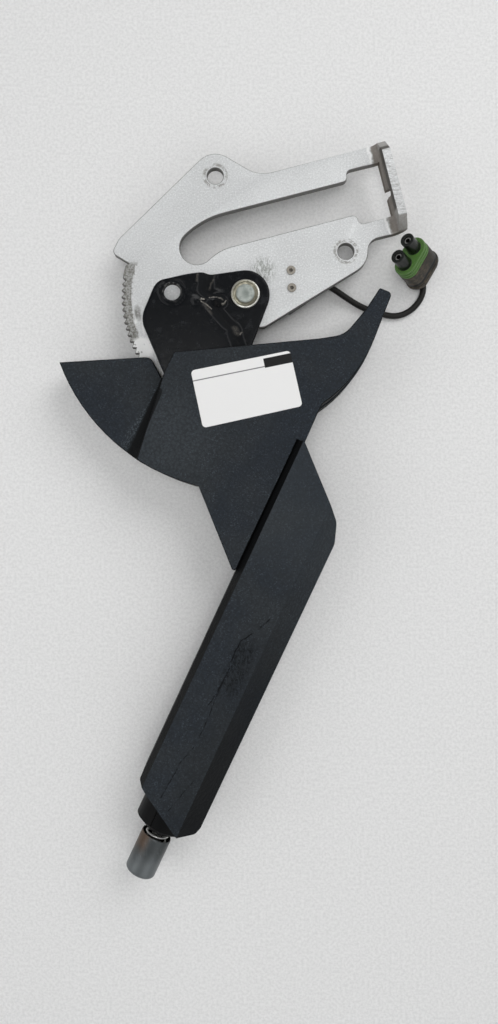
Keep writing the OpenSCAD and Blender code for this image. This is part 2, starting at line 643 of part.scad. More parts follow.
pin_low = -7;
module pawl_pin() color("silver") at_pivot() translate([pawl_at.x, pawl_at.y, 0]) {
    translate([0, 0, pin_low]) cylinder(r = pawl_pin_r, h = arm_z + arm_t - pin_low);
    translate([0, 0, arm_z + arm_t]) cylinder(r1 = pawl_pin_r + 1.8, r2 = pawl_pin_r, h = 1.6);
    translate([0, 0, pin_low - 1.6]) cylinder(r1 = pawl_pin_r + 1, r2 = pawl_pin_r + 2.6, h = 1.6);
}

module pawl_spring() color("lightgray") at_pivot() translate([pawl_at.x, pawl_at.y, 0])
    sweep(helix(pawl_pin_r + gap + spring_wire_r, pin_low + gap + spring_wire_r,
        pawl_z - gap - spring_wire_r, 3, 16), spring_wire_r, 6);

// Release: button, rod, clip and spring slide along the grip's axis
button_top = collar_end - button_gap;
button_end = button_top - button_l;
button_floor = 3.5;
module button() color("#3c4044") on_axis(button_end) rotate_extrude() polygon([[0, 0],
    [button_d / 2 - 2.4, 0], [button_d / 2 - 0.8, 0.6], [button_d / 2, 2.4], [button_d / 2, button_l],
    [button_d / 2 - button_wall, button_l], [button_d / 2 - button_wall, button_floor], [0, button_floor]]);

module release_rod() color("lightgray") {
    on_axis(button_end + button_floor)
        cylinder(d = rod_d, h = rod_top - rod_d / 2 - button_end - button_floor);
    on_axis(rod_top - rod_d / 2) sphere(d = rod_d);
}

clip_t = tube_top + 2 + gap;
module rod_clip() color("dimgray") on_axis(clip_t) ring(rod_d / 2 + 2, rod_d / 2 + fit, 1.2);

button_spring_r = nose_r - nose_wall - gap - spring_wire_r;
module button_spring() color("silver") on_axis(0)
    sweep(helix(button_spring_r, button_end + button_floor + gap + spring_wire_r,
        tube_end - gap - spring_wire_r, 9, 12), spring_wire_r, 6);

// Warning switch behind the plate, pressed by the cam on the pivot; one corner follows the plate's edge
module switch_plan() translate(switch_at) polygon([[0, 0], [switch_size.x - switch_cut.x, 0],
    [switch_size.x, switch_cut.y], [switch_size.x, switch_size.y], [0, switch_size.y]]);
module switch_body() color("#202020") at_pivot() difference() {
    translate([0, 0, -switch_size.z]) linear_extrude(switch_size.z) switch_plan();
    for (p = rivet_at) translate([p.x, p.y, -far / 2]) cylinder(r = rivet_r + fit, h = far);
    translate([0, plunger_y, plunger_z]) rotate([0, 90, 0]) cylinder(r = plunger_r + gap, h = switch_at.x + 10);
    translate([switch_at.x + 1.6, plunger_y, plunger_z]) rotate([0, 90, 0]) cylinder(r = plunger_bore, h = 14);
}
plunger_bore = plunger_r + 1.2 + gap;
plunger_l = 12;

module switch_lid() color("#2c2c2c") at_pivot() difference() {
    translate([0, 0, -switch_size.z - switch_lid_t]) linear_extrude(switch_lid_t) switch_plan();
    for (p = rivet_at) translate([p.x, p.y, -far / 2]) cylinder(r = rivet_r + fit, h = far);
}

module switch_rivets() color("silver") at_pivot() for (p = rivet_at) translate([p.x, p.y, 0]) {
    difference() {
        translate([0, 0, plate_t]) cylinder(r = rivet_head[0], h = rivet_head[1]);
        translate([0, 0, plate_t + 0.2]) cylinder(r1 = 0.8, r2 = 1.3, h = 1);
    }
    translate([0, 0, -switch_size.z - switch_lid_t]) cylinder(r = rivet_r, h = plate_t + switch_size.z + switch_lid_t);
    translate([0, 0, -switch_size.z - switch_lid_t - rivet_head[1]]) cylinder(r = rivet_head[0], h = rivet_head[1]);
}

module switch_plunger() color("white") at_pivot() translate([plunger_tip, plunger_y, plunger_z]) rotate([0, 90, 0]) {
    translate([0, 0, plunger_r]) cylinder(r = plunger_r, h = plunger_l - plunger_r);
    translate([0, 0, plunger_r]) sphere(r = plunger_r);
    translate([0, 0, switch_at.x + 1.6 + gap - plunger_tip]) cylinder(r = plunger_bore - gap, h = 1.2);
}

plunger_end = plunger_tip + plunger_l;
spring_stop = switch_at.x + 1.6 + 14;
module plunger_spring() color("silver") at_pivot() translate([0, plunger_y, plunger_z]) rotate([0, 90, 0])
    sweep(helix(plunger_r - 0.6, plunger_end + 0.4, spring_stop - 0.4, 4, 10), 0.25, 6);

gland_l = wire_route[0].x - pivot_at.x - switch_at.x - switch_size.x;
module switch_gland() color("#101010") translate(wire_route[0] - [gland_l, 0, 0]) rotate([0, 90, 0])
    cylinder(r1 = wire_d / 2 + 2, r2 = wire_d / 2 + 1, h = gland_l);

module switch_wire() color("#151515") sweep(wire_route, wire_d / 2, 8);

// Connector on the lead's end: oval body, ribbed seal, two hollow silos
module oval(r) {
    square([silo_pitch, 2 * r], center = true);
    for (m = [-1, 1]) translate([m * silo_pitch / 2, 0]) circle(r = r);
}
body_l = 14;
seal_l = 6;
silo_l = 10.5;
silo_r = silo_d / 2;
silo_bore = 2.1;
module connector_housing() color("#3a3632") in_connector() difference() {
    union() {
        linear_extrude(body_l) oval(silo_r + 2.8);
        linear_extrude(2) oval(silo_r + 3.4);
        linear_extrude(body_l + seal_l) oval(silo_r + 1);
        for (m = [-1, 1]) translate([m * silo_pitch / 2, 0, body_l]) cylinder(r = silo_r, h = seal_l + silo_l);
    }
    for (m = [-1, 1]) translate([m * silo_pitch / 2, 0, body_l]) cylinder(r = silo_bore, h = far);
}

rib_l = 1.2;
module connector_seal() color("seagreen") in_connector() translate([0, 0, body_l]) difference() {
    union() {
        linear_extrude(seal_l) oval(silo_r + 1.9);
        for (i = [0:2]) translate([0, 0, i * (seal_l - rib_l) / 2]) linear_extrude(rib_l) oval(silo_r + 2.6);
    }
    translate([0, 0, -eps]) linear_extrude(seal_l + 2 * eps) oval(silo_r + 1 + fit);
}

module connector_terminals() color("lightgray") in_connector() for (m = [-1, 1])
    translate([m * silo_pitch / 2, 0, body_l]) cylinder(r = 1.2, h = seal_l + silo_l - 2);

lock_t = 2.5;
stub_l = 2.5;
module connector_lock() color("#4a4642") in_connector() {
    translate([0, 0, -lock_t]) linear_extrude(lock_t) oval(silo_r + 2.2);
    translate([-silo_pitch / 2, 0, -lock_t - stub_l])
        cylinder(r1 = wire_d / 2 + 0.6, r2 = wire_d / 2 + 1.4, h = stub_l);
}

ratchet_plate();
pivot_bush();
pivot_rivet();
pivot_washer();
switch_cam();
lever_arm();
handle_tube();
tube_guide();
front_cover();
rear_cover();
cover_screws();
grip_front();
grip_rear();
grip_screws();
end_collar();
spring_seat();
pawl();
pawl_pin();
pawl_spring();
release_rod();
rod_clip();
button();
button_spring();
switch_body();
switch_lid();
switch_rivets();
switch_plunger();
plunger_spring();
switch_gland();
switch_wire();
connector_housing();
connector_seal();
connector_terminals();
connector_lock();
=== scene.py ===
"""Parking brake lever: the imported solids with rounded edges, worn metal, grained plastic and a lead."""

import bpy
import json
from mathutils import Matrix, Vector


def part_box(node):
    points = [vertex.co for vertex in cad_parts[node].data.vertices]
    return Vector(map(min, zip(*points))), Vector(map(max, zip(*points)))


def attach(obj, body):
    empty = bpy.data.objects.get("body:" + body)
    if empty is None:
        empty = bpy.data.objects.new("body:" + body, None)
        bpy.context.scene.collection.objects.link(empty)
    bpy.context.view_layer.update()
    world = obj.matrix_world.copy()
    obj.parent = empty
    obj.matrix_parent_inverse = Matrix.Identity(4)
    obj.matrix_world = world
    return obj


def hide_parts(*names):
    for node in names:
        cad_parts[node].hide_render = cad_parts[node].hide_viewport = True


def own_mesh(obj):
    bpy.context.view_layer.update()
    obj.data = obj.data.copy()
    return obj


bl_info = {
    "name": "Parking brake lever",
    "version": (1, 0, 0),
    "blender": (4, 5, 0),
    "location": "View3D > Sidebar > Brake lever",
    "description": "Builds the visible pieces and finishes of a hand parking brake lever",
    "category": "Object",
}

import json
from math import cos, pi, radians, sin, tau

import bmesh
import bpy
import numpy as np
from mathutils import Euler, Vector
from mathutils.geometry import delaunay_2d_cdt

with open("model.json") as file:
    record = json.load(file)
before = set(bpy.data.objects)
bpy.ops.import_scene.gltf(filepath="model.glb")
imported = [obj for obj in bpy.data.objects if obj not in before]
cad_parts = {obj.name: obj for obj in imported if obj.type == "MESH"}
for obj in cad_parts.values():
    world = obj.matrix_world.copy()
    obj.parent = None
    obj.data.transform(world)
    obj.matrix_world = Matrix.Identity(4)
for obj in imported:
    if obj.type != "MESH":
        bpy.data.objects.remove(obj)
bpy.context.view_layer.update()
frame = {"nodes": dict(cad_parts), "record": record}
BODY_OF = {n: b for b, nodes in frame["record"]["behaviour"]["bodies"].items() for n in nodes}

MM = 0.001
PIVOT = np.array([-20.5, -48.5])
PLATE_TURN = radians(14.5)
GRIP_AT = PIVOT + (14.8, -170.6)
GRIP_TURN = radians(-25)
GRIP_Z = 5.0
FLOOR_Z = -15.0
PLATE_Z = 4.8
MOUNT_HOLE = (38.1, -22.0)
SHARP_TURN = radians(35)

# The photograph's camera: height over the plate's rear face, foot, and focal length in image heights
CAMERA_HEIGHT = 454.0
CAMERA_FOOT = (-18.4, -174.1)
FOCAL_SHARE = 770 / 1024
SENSOR_HEIGHT = 36.0

# Route of the switch's lead from its gland to the connector, in millimetres
LEAD_ROUTE = np.array([
    (21, -37, -6), (24, -37.3, -6.3), (28, -38.3, -7.2), (34, -41.2, -8.9), (41, -45.3, -10.7),
    (47, -48.6, -12), (53, -51.2, -12.8), (59, -53.2, -13.1), (65, -54.7, -13.2), (70, -55.2, -13.2),
    (75, -54.2, -13.2), (79.5, -51.8, -13.2), (83, -48.6, -13.2), (85.5, -45, -13.2),
    (86.9, -41.5, -13.2), (87.3, -38.4, -13.2), (86.9, -36.2, -13.1), (86.1, -34.7, -12.8)], float)
LEAD_D = 3.6

# Connector on the lead's end: its place, its turn about X, Y and Z, and its lengths along its axis
CONNECTOR_AT = np.array([85.7, -29.3, -8.0])
CONNECTOR_TURN = np.array(Euler([radians(a) for a in (-34.8, -9, 60.5)]).to_matrix())
BODY_L, SEAL_L, SILO_L = 14.0, 6.0, 10.5
SILO_PITCH = 10.2

# Pressed arm, from the pivot: its lower level, rise, sheet and mesh step; its outline, as corners with radii,
# of which the tab's are places across and along the grip; the line of its joggle; its holes
ARM_LOW, ARM_RISE, ARM_SHEET, ARM_STEP = 10.0, 8.0, 4.0, 1.25
ARM_TAB = ((-17, 2, 4), (-17, -24, 3), (-7, -24, 1), (-7, 9, 1), (-12.5, 9, 0), (-13.5, 32, 6))
ARM_NECK = ((10, -92, 12), (3.5, -30, 10))
ARM_HUB_R = 14
ARM_HEAD = ((-11.4, 12.6, 0), (-21.5, 11.0, 6), (-33, 9.4, 8), (-50.5, 5.6, 9), (-59.5, -16, 14),
            (-45.6, -48.6, 1.5), (-34, -58, 4), (-20, -62, 3), (-22.5, -92, 8), (-13.5, -128, 6))
JOGGLE = np.array([(-22, 14), (-22, 1), (-19.5, -6), (-13.5, -13.5), (-7.6, -20.5), (-3.4, -30), (-1.8, -44),
                   (-22, -60.5), (-45, -72)], float)
CLEVIS_HOLE = (-41.594, -0.726)
PAWL_PIN_HOLE = (82.1 * cos(radians(263)), 82.1 * sin(radians(263)))
SCREW_HOLE = (-2.0, -128.0)
ARM_HOLES = (((0.0, 0.0), 5.05), (CLEVIS_HOLE, 4.75), (PAWL_PIN_HOLE, 4.05), (SCREW_HOLE, 4.8))

# Pivot rivet and washer, as profiles of radius and height
RIVET_PROFILE = ((0, -6.4), (5.4, -6.4), (6.6, -6.0), (8.0, -4.0), (5.0, -4.0), (5.0, 11.6), (5.25, 11.65),
                 (5.3, 12.0), (4.9, 12.35), (4.2, 12.5), (2.6, 12.55), (1.6, 12.5), (0.8, 12.45), (0, 12.44))
WASHER_PROFILE = ((5.05, 10.0), (7.9, 10.0), (8.2, 10.15), (8.3, 10.5), (8.3, 11.1), (8.15, 11.45),
                  (7.8, 11.6), (7.2, 11.6), (6.9, 11.45), (6.7, 11.15), (6.5, 11.05), (5.05, 11.05))

# Paper label on the hub: its corners, middle, turn, height and thickness
LABEL_CORNERS = ((-51.2, -94.6), (-44.3, -126.9), (11.7, -114.5), (4.65, -83.3))
LABEL_AT, LABEL_TURN = (-19.8, -104.8), radians(11.5)
LABEL_Z, LABEL_SHEET = 21.14, 0.12

# Push button and its spring, along the grip: the button's end, rim and bottom, and the spring's seat and coil
BUTTON_END, BUTTON_RIM, BUTTON_BOTTOM = -181.5, -157.2, 3.5
SEAT_AT = -141.0
COIL_R, COIL_WIRE, COIL_TURNS, COIL_CLEAR = 6.3, 0.7, 9, 1.0

# Stage: the floor's half width and middle, lamps by place, size and power, and the sky's tones by height
FLOOR_HALF, FLOOR_MIDDLE = 1600, (-18, -174)
LAMPS = (("soft_key", (0.75, 0.75, 1.15), 1.1, 10.5), ("soft_top", (-0.05, -0.27, 1.5), 0.7, 5.6),
         ("soft_fill", (-1.1, -0.2, 1.0), 1.1, 4.4), ("soft_low", (0.5, -1.25, 1.0), 1.1, 2.8))
LAMP_AIM = (-0.02, -0.17, 0)
SKY_TONES = ((0.0, 0.5), (0.6, 0.36), (0.88, 0.09))


# Geometry

def unit(rows):
    """Rows scaled to a length of one."""
    return rows / np.maximum(np.linalg.norm(rows, axis=1, keepdims=True), 1e-9)


def turned_axes(x, y, turn):
    """A place measured along axes turned by an angle, for arrays and for signals."""
    c, s = cos(turn), sin(turn)
    return x * c + y * s, y * c - x * s


def grip_point(w, t, z):
    """Points of the grip's frame, w across it, t along its axis and z over that, in the part's frame."""
    w, t, z = np.broadcast_arrays(np.asarray(w, float), t, z)
    x, y = turned_axes(w, t, -GRIP_TURN)
    return np.stack([GRIP_AT[0] + x, GRIP_AT[1] + y, GRIP_Z + z], -1)


def connector_point(x, y, z):
    """Points from the connector's frame: x along the pair of silos, z along its axis out of them."""
    return CONNECTOR_AT + np.stack(np.broadcast_arrays(x, y, z), -1) @ CONNECTOR_TURN.T


def grid_faces(rows, cols, close_rows=False, close_cols=False):
    """Faces of a grid of rows by cols points: each cell's four corners, wrapping where a side closes."""
    r = np.arange(rows if close_rows else rows - 1)[:, None]
    c = np.arange(cols if close_cols else cols - 1)[None, :]
    up, across = (r + 1) % rows, (c + 1) % cols
    return np.stack([r * cols + c, r * cols + across, up * cols + across, up * cols + c], -1).reshape(-1, 4)


def smooth_line(points, per_span):
    """A Catmull-Rom curve: each span is the cubic whose end slopes are half the chord of its neighbours."""
    p = np.vstack([2 * points[0] - points[1], points, 2 * points[-1] - points[-2]])
    a, b, c, d = p[:-3, None], p[1:-2, None], p[2:-1, None], p[3:, None]
    u = np.linspace(0, 1, per_span, endpoint=False)[None, :, None]
    curve = b + 0.5 * u * (c - a + u * (2 * a - 5 * b + 4 * c - d + u * (3 * (b - c) + d - a)))
    return np.vstack([curve.reshape(-1, points.shape[1]), points[-1:]])


def tube(path, radius, sides, up=(0, 0, 1)):
    """A circle carried along a path, square to the path's slope at each point, with both ends closed."""
    slope = unit(np.gradient(path, axis=0))
    side = unit(np.cross(slope, up))
    over = np.cross(side, slope)
    a = np.linspace(0, tau, sides, endpoint=False)[None, :, None]
    rings = path[:, None] + radius * (side[:, None] * np.cos(a) + over[:, None] * np.sin(a))
    n = len(path)
    faces = grid_faces(n, sides, close_cols=True)[:, ::-1].tolist()
    faces += [list(range(sides)), list(range(n * sides - 1, (n - 1) * sides - 1, -1))]
    return rings.reshape(-1, 3), faces


def helix(radius, turns, low, high):
    """A coil's line, as two coordinates on a circle and one that rises evenly, with 24 points to a turn."""
    a = np.linspace(0, turns * tau, turns * 24 + 1)
    return radius * np.cos(a), radius * np.sin(a), np.linspace(low, high, len(a))


def turned(profile, sides, place, ring=False):
    """A profile of (radius, height) turned about an axis; place puts (x, y, height) into the part's frame. A
    ring's profile joins up with its own start; any other starts and ends on the axis, where a fan of
    triangles closes it."""
    profile = np.asarray(profile, float)
    a = np.linspace(0, tau, sides, endpoint=False)[None, :]
    wall = profile if ring else profile[1:-1]
    r, h = wall[:, :1], wall[:, 1:]
    points = place(r * np.cos(a), r * np.sin(a), h + 0 * a).reshape(-1, 3)
    faces = grid_faces(len(wall), sides, close_rows=ring, close_cols=True).tolist()
    if not ring:
        n, i = len(points), np.arange(sides)
        j = (i + 1) % sides
        faces += np.stack([j, i, np.full(sides, n)], -1).tolist()
        faces += np.stack([n - sides + i, n - sides + j, np.full(sides, n + 1)], -1).tolist()
        points = np.vstack([points, place(np.zeros(2), np.zeros(2), profile[[0, -1], 1])])
    return points, faces


def rounded_corner(radius, centre, start, end, steps=5):
    """Points of a profile's corner: an arc of (radius, height) about centre, its angles in degrees."""
    a = np.radians(np.linspace(start, end, steps))
    return np.stack([centre[0] + radius * np.cos(a), centre[1] + radius * np.sin(a)], -1)


def fillet_path(corners):
    """A closed outline of (x, y, radius) corners, each replaced by the arc that touches both its sides."""
    c = np.asarray(corners, float)
    xy, r = c[:, :2], c[:, 2]
    back, ahead = unit(np.roll(xy, 1, 0) - xy), unit(np.roll(xy, -1, 0) - xy)
    half = np.arccos(np.clip((back * ahead).sum(1), -1, 1)) / 2
    centre = xy + unit(back + ahead) * (r / np.sin(half))[:, None]
    first = xy + back * (r / np.tan(half))[:, None] - centre
    turn = np.sign(back[:, 1] * ahead[:, 0] - back[:, 0] * ahead[:, 1]) * (pi - 2 * half)
    a = turn[:, None] * np.linspace(0, 1, 9)[None]
    x = first[:, :1] * np.cos(a) - first[:, 1:] * np.sin(a)
    y = first[:, :1] * np.sin(a) + first[:, 1:] * np.cos(a)
    arcs = centre[:, None] + np.stack([x, y], -1)
    keep = np.ones(arcs.shape[:2], bool)
    keep[r <= 0, 1:] = False
    return arcs[keep]


def resampled(outline, step):
    """The same closed outline with points about one step apart along each of its sides."""
    nxt = np.roll(outline, -1, 0)
    count = np.maximum(np.ceil(np.linalg.norm(nxt - outline, axis=1) / step).astype(int), 1)
    which = np.repeat(np.arange(len(outline)), count)
    share = (np.arange(count.sum()) - np.repeat(np.cumsum(count) - count, count)) / count[which]
    return outline[which] + share[:, None] * (nxt - outline)[which]


def inset(outline, d):
    """A closed counter-clockwise outline moved inwards by d along the mean of the normals at each point."""
    ahead = unit(np.roll(outline, -1, 0) - outline)
    back = np.roll(ahead, 1, 0)
    normal = np.stack([-(ahead + back)[:, 1], (ahead + back)[:, 0]], -1)
    return outline + d * normal / np.maximum(1 + (ahead * back).sum(1), 0.3)[:, None]


def inside(points, outline):
    """Even-odd test of many points against a closed outline, all at once."""
    a, b = outline, np.roll(outline, -1, 0)
    x, y = points[:, :1], points[:, 1:]
    crosses = (a[:, 1] > y) != (b[:, 1] > y)
    at = a[:, 0] + (y - a[:, 1]) * (b[:, 0] - a[:, 0]) / np.where(b[:, 1] == a[:, 1], 1e-9, b[:, 1] - a[:, 1])
    return (crosses & (x < at)).sum(1) % 2 == 1


def pressed_sheet(outline, holes, top, thick, edge, step):
    """A sheet pressed to the height top(x, y): its two faces are that surface and the same one lower by
    thick, over a grid cut to the outline and the holes; a quarter-round profile runs round every rim."""
    loops = [resampled(outline, step)] + [resampled(h[::-1], step) for h in holes]
    cut = [inset(loop, edge) for loop in loops]
    low, high = outline.min(0), outline.max(0)
    columns, rows = (np.arange(a, b, step) for a, b in zip(low, high))
    g = np.stack(np.meshgrid(columns, rows), -1).reshape(-1, 2)
    clear = inside(g, inset(loops[0], edge + 0.6 * step))
    for loop in loops[1:]:
        clear &= ~inside(g, inset(loop, edge + 0.6 * step))
    g = g[clear]
    flat = np.vstack(cut + [g])
    starts = np.cumsum([0] + [len(c) for c in cut])
    turns = [np.arange(len(c)) for c in cut]
    edges = np.vstack([s + np.stack([i, np.roll(i, -1)], -1) for s, i in zip(starts, turns)]).tolist()
    made = delaunay_2d_cdt([Vector(p) for p in flat.tolist()], [tuple(e) for e in edges], [], 1, 1e-6)
    n = len(flat)
    given = np.array([o[0] if o else -1 for o in made[3]])
    tris = given[np.array(made[2], int)]
    tris = tris[tris.min(1) >= 0]
    middle = flat[tris].mean(1)
    for c in cut[1:]:
        tris, middle = tris[~inside(middle, c)], middle[~inside(middle, c)]
    height = top(flat[:, 0], flat[:, 1])
    points = [np.c_[flat, height], np.c_[flat, height - thick]]
    faces = tris.tolist() + (tris[:, ::-1] + n).tolist()
    base = 2 * n
    for loop, c, s in zip(loops, cut, starts):
        m = len(loop)
        z = top(c[:, 0], c[:, 1])
        a = np.radians(np.array([30, 60, 90]))
        rings = [(inset(loop, edge * (1 - sin(k))), z - edge * (1 - cos(k))) for k in a]
        rings += [(inset(loop, edge * (1 - sin(k))), z - thick + edge * (1 - cos(k))) for k in a[::-1]]
        rows = np.array([np.c_[xy, zz] for xy, zz in rings])
        points.append(rows.reshape(-1, 3))
        between = base + np.arange(len(rows) * m).reshape(-1, m)
        number = np.vstack([s + np.arange(m), between, n + s + np.arange(m)])
        nxt = np.roll(number, -1, 1)
        faces += np.stack([number[:-1], number[1:], nxt[1:], nxt[:-1]], -1).reshape(-1, 4).tolist()
        base += len(rows) * m
    return np.vstack(points), faces


# Pieces

def add_piece(name, shape, finish, node, smooth, replace=True):
    """Puts a worked-out surface, its points in millimetres and its faces, into the scene for a CAD node."""
    points, faces = shape
    mesh = bpy.data.meshes.new(name)
    mesh.from_pydata((np.asarray(points) * MM).tolist(), [], faces)
    mesh.polygons.foreach_set("use_smooth", np.ones(len(mesh.polygons), bool))
    mesh.set_sharp_from_angle(angle=radians(smooth))
    return settle(name, mesh, finish, node, replace)


def settle(name, mesh, finish, node, replace=True):
    """Links a mesh into the scene with its finish and a CAD node's body; it can replace the node."""
    piece = bpy.data.objects.new(name, mesh)
    bpy.context.scene.collection.objects.link(piece)
    mesh.materials.clear()
    mesh.materials.append(finish)
    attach(piece, BODY_OF[node])
    if replace:
        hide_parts(node)
    return piece


def column(data, name, width, kind=float):
    """One property of every vertex, edge, loop or face of a mesh, as an array."""
    values = np.empty(len(data) * width, kind)
    data.foreach_get(name, values)
    return values.reshape(-1, width) if width > 1 else values


def rounding(mesh, width, looks, least, deep=1.0, part=None):
    """The share of width to which each edge can be rounded. An edge counts when its two faces bulge outwards,
    turn by more than least degrees, and one of them looks along one of the given ways on Z, within deep of
    that side's end and inside the given part. Its share is the room at its two ends: no more than 0.45 of the
    length of a neighbour that its round runs along or meets, reduced by the sine of the angle between them
    where only one is rounded."""
    at = column(mesh.vertices, "co", 3)
    ends = column(mesh.edges, "vertices", 2, np.int32)
    face = np.repeat(np.arange(len(mesh.polygons)), column(mesh.polygons, "loop_total", 1, np.int32))
    start = column(mesh.loops, "vertex_index", 1, np.int32)
    normal = column(mesh.polygons, "normal", 3)
    pair = np.argsort(column(mesh.loops, "edge_index", 1, np.int32), kind="stable").reshape(-1, 2)
    a, b = normal[face[pair[:, 0]]], normal[face[pair[:, 1]]]
    along, middle = at[ends[:, 1]] - at[ends[:, 0]], at[ends].mean(1)
    length = np.linalg.norm(along, axis=1)
    way = along * np.where(start[pair[:, 0]] == ends[:, 0], 1, -1)[:, None]
    keep = ((np.cross(a, way) * b).sum(1) < 0) & ((a * b).sum(1) < cos(radians(least)))
    z = np.stack([a[:, 2], b[:, 2]])
    depth = {1: at[:, 2].max() - middle[:, 2], -1: middle[:, 2] - at[:, 2].min()}
    facing = [((s * z).max(0) > 0.5) & ((s * z).min(0) > -0.2) & (depth[s] < deep) for s in looks]
    keep &= np.any(facing, axis=0)
    if part:
        keep &= part(middle, length)
    n = len(ends)
    vertex, owner = ends.T.reshape(-1), np.tile(np.arange(n), 2)
    order = np.argsort(vertex, kind="stable")
    count = np.bincount(vertex, minlength=len(at))[vertex]
    turn = np.arange(count.max())
    other = owner[order][np.minimum(np.searchsorted(vertex[order], vertex)[:, None] + turn, 2 * n - 1)]
    unit = along / np.maximum(length, 1e-12)[:, None]
    dot = np.abs((unit[owner][:, None] * unit[other]).sum(-1))
    slide = np.sqrt(np.clip(1 - dot ** 2, 0, 1)) * np.minimum(0.45 * length[other], 2 * width)
    room = np.where(keep[other], np.where(dot < 0.8, 0.45 * length[other], 1.0), slide)
    room = np.where((other != owner[:, None]) & (turn < count[:, None]), room, 1.0).min(1)
    return np.where(keep, np.clip(np.minimum(room[:n], room[n:]) / width, 0, 1), 0.0)


def chamfer_rim(bm, look, level, width):
    """Breaks the rim of a sheet's flat side, which looks one way along Z at a level: the side's faces are
    inset by width, and the corners of their old outline go down by 0.85 of it, except where the sheet bends
    on past them."""
    side = {f for f in bm.faces if look * f.normal.z > 0.999 and abs(f.verts[0].co.z - level) < 1e-5}
    made = bmesh.ops.inset_region(bm, faces=list(side), thickness=width, use_even_offset=True,
                                  use_boundary=True)
    ring = made["faces"]
    upper = side.union(ring)
    outer = {v for f in ring for v in f.verts if side.isdisjoint(v.link_faces)}
    rim = [v for v in outer if all(abs(g.normal.z) < 0.5 for g in v.link_faces if g not in upper)]
    bmesh.ops.translate(bm, verts=rim, vec=(0, 0, -0.85 * look * width))


def dress(node, finish, edge, segments=3, sides=(), **rims):
    """A copy of a CAD solid with its triangles joined into faces and its edges rounded by a bevel: all that
    turn by more than the sharp turn, or, where rims are given, those that rounding picks by them. A sheet's
    sides, each with the way that it looks and its level, get a chamfered rim instead."""
    mesh = frame["nodes"][node].data.copy()
    mesh.name = node + "_shape"
    bm = bmesh.new()
    bm.from_mesh(mesh)
    bmesh.ops.remove_doubles(bm, verts=bm.verts, dist=1e-6 if rims or sides else 2e-5)
    bmesh.ops.dissolve_degenerate(bm, edges=bm.edges, dist=1e-6)
    bmesh.ops.dissolve_limit(bm, angle_limit=radians(0.4), verts=bm.verts, edges=bm.edges)
    for look, level in sides:
        chamfer_rim(bm, look, level * MM, edge * MM)
    bm.to_mesh(mesh)
    bm.free()
    mesh.polygons.foreach_set("use_smooth", np.ones(len(mesh.polygons), bool))
    mesh.set_sharp_from_angle(angle=SHARP_TURN)
    piece = settle(node + "_dressed", mesh, finish, node)
    if sides:
        return piece
    bevel = piece.modifiers.new("rounded edges", "BEVEL")
    bevel.width = edge * MM
    bevel.segments = segments
    bevel.harden_normals = True
    if rims:
        share = rounding(mesh, edge * MM, **rims).astype(np.float32)
        mesh.attributes.new("bevel_weight_edge", "FLOAT", "EDGE").data.foreach_set("value", share)
        bevel.limit_method = "WEIGHT"
        bevel.use_clamp_overlap = False
    else:
        bevel.limit_method = "ANGLE"
        bevel.angle_limit = SHARP_TURN
    return piece


def arm_height(x, y):
    """Height of the pressed arm: a step across the joggle's line, the hyperbolic tangent of the signed
    distance to it, over a toe and a brow, with a pressed dart towards the pivot, a dent below it, a boss on
    the lower slope, a slight wave where the step is steep, and a coined ring round the pin's hole."""
    u, v = x - PIVOT[0], y - PIVOT[1]
    p = np.stack([u, v], -1)[:, None]
    a, d = JOGGLE[:-1], np.diff(JOGGLE, axis=0)
    share = np.clip(((p - a) * d).sum(-1) / (d * d).sum(-1), 0, 1)
    off = p - a - share[..., None] * d
    away = np.linalg.norm(off, axis=-1)
    near = away.argmin(1)
    rows = np.arange(len(near))
    side = d[near, 0] * off[rows, near, 1] - d[near, 1] * off[rows, near, 0]
    over = -np.sign(side) * away[rows, near]
    toe, brow = 2.0, 2.4
    rise = toe + np.where(over > 0, brow * np.tanh(over / brow), toe * np.tanh(over / toe))
    s = rise / (toe + brow)
    z = ARM_LOW + ARM_RISE * s
    run = np.clip((u + 17.5) / 7.0, 0, 1)
    fade = (1 - run * run * (3 - 2 * run)) * (u > -30)
    dart = np.exp(-((v + 4.6 - 0.1 * (u + 18)) / 2.4) ** 4) * fade
    z += (17.6 - z) * dart
    z -= 1.1 * np.exp(-((v - 0.4) / 1.6) ** 2 - ((u + 20) / 5.0) ** 2)
    z += 1.5 * np.exp(-((u + 6.8) ** 2 + (v + 21.3) ** 2) / 9.0)
    z += 0.3 * np.sin(0.9 * v + 0.5 * u) * np.clip(1 - np.abs(2 * s - 1), 0, 1)
    from_pin = np.hypot(u - CLEVIS_HOLE[0], v - CLEVIS_HOLE[1])
    return z - 0.55 * np.exp(-((from_pin - 6.5) / 0.9) ** 2)


def paint(node, finish):
    """Gives a CAD node that stays in the scene its finish."""
    slots = frame["nodes"][node].data.materials
    slots.clear()
    slots.append(finish)


# Finishes

def math_step(kind, last=False):
    """A method that adds one Math node for a signal and any other value, with the signal first or last."""
    def method(self, *others):
        values = [*others, self] if last else [self, *others]
        return self.finish.node("ShaderNodeMath", {"operation": kind}, values)
    return method


class Signal:
    """A shader socket that takes part in Python arithmetic by adding Math nodes to its finish."""

    def __init__(self, finish, socket):
        self.finish, self.socket = finish, socket

    __add__, __radd__ = math_step("ADD"), math_step("ADD", last=True)
    __sub__, __rsub__ = math_step("SUBTRACT"), math_step("SUBTRACT", last=True)
    __mul__, __rmul__ = math_step("MULTIPLY"), math_step("MULTIPLY", last=True)
    __truediv__ = math_step("DIVIDE")
    __abs__ = math_step("ABSOLUTE")
    least, most = math_step("MINIMUM"), math_step("MAXIMUM")
    root = math_step("SQRT")


def distance(x, y):
    """How far two signals, as a pair, are from nought."""
    return (x * x + y * y).root()


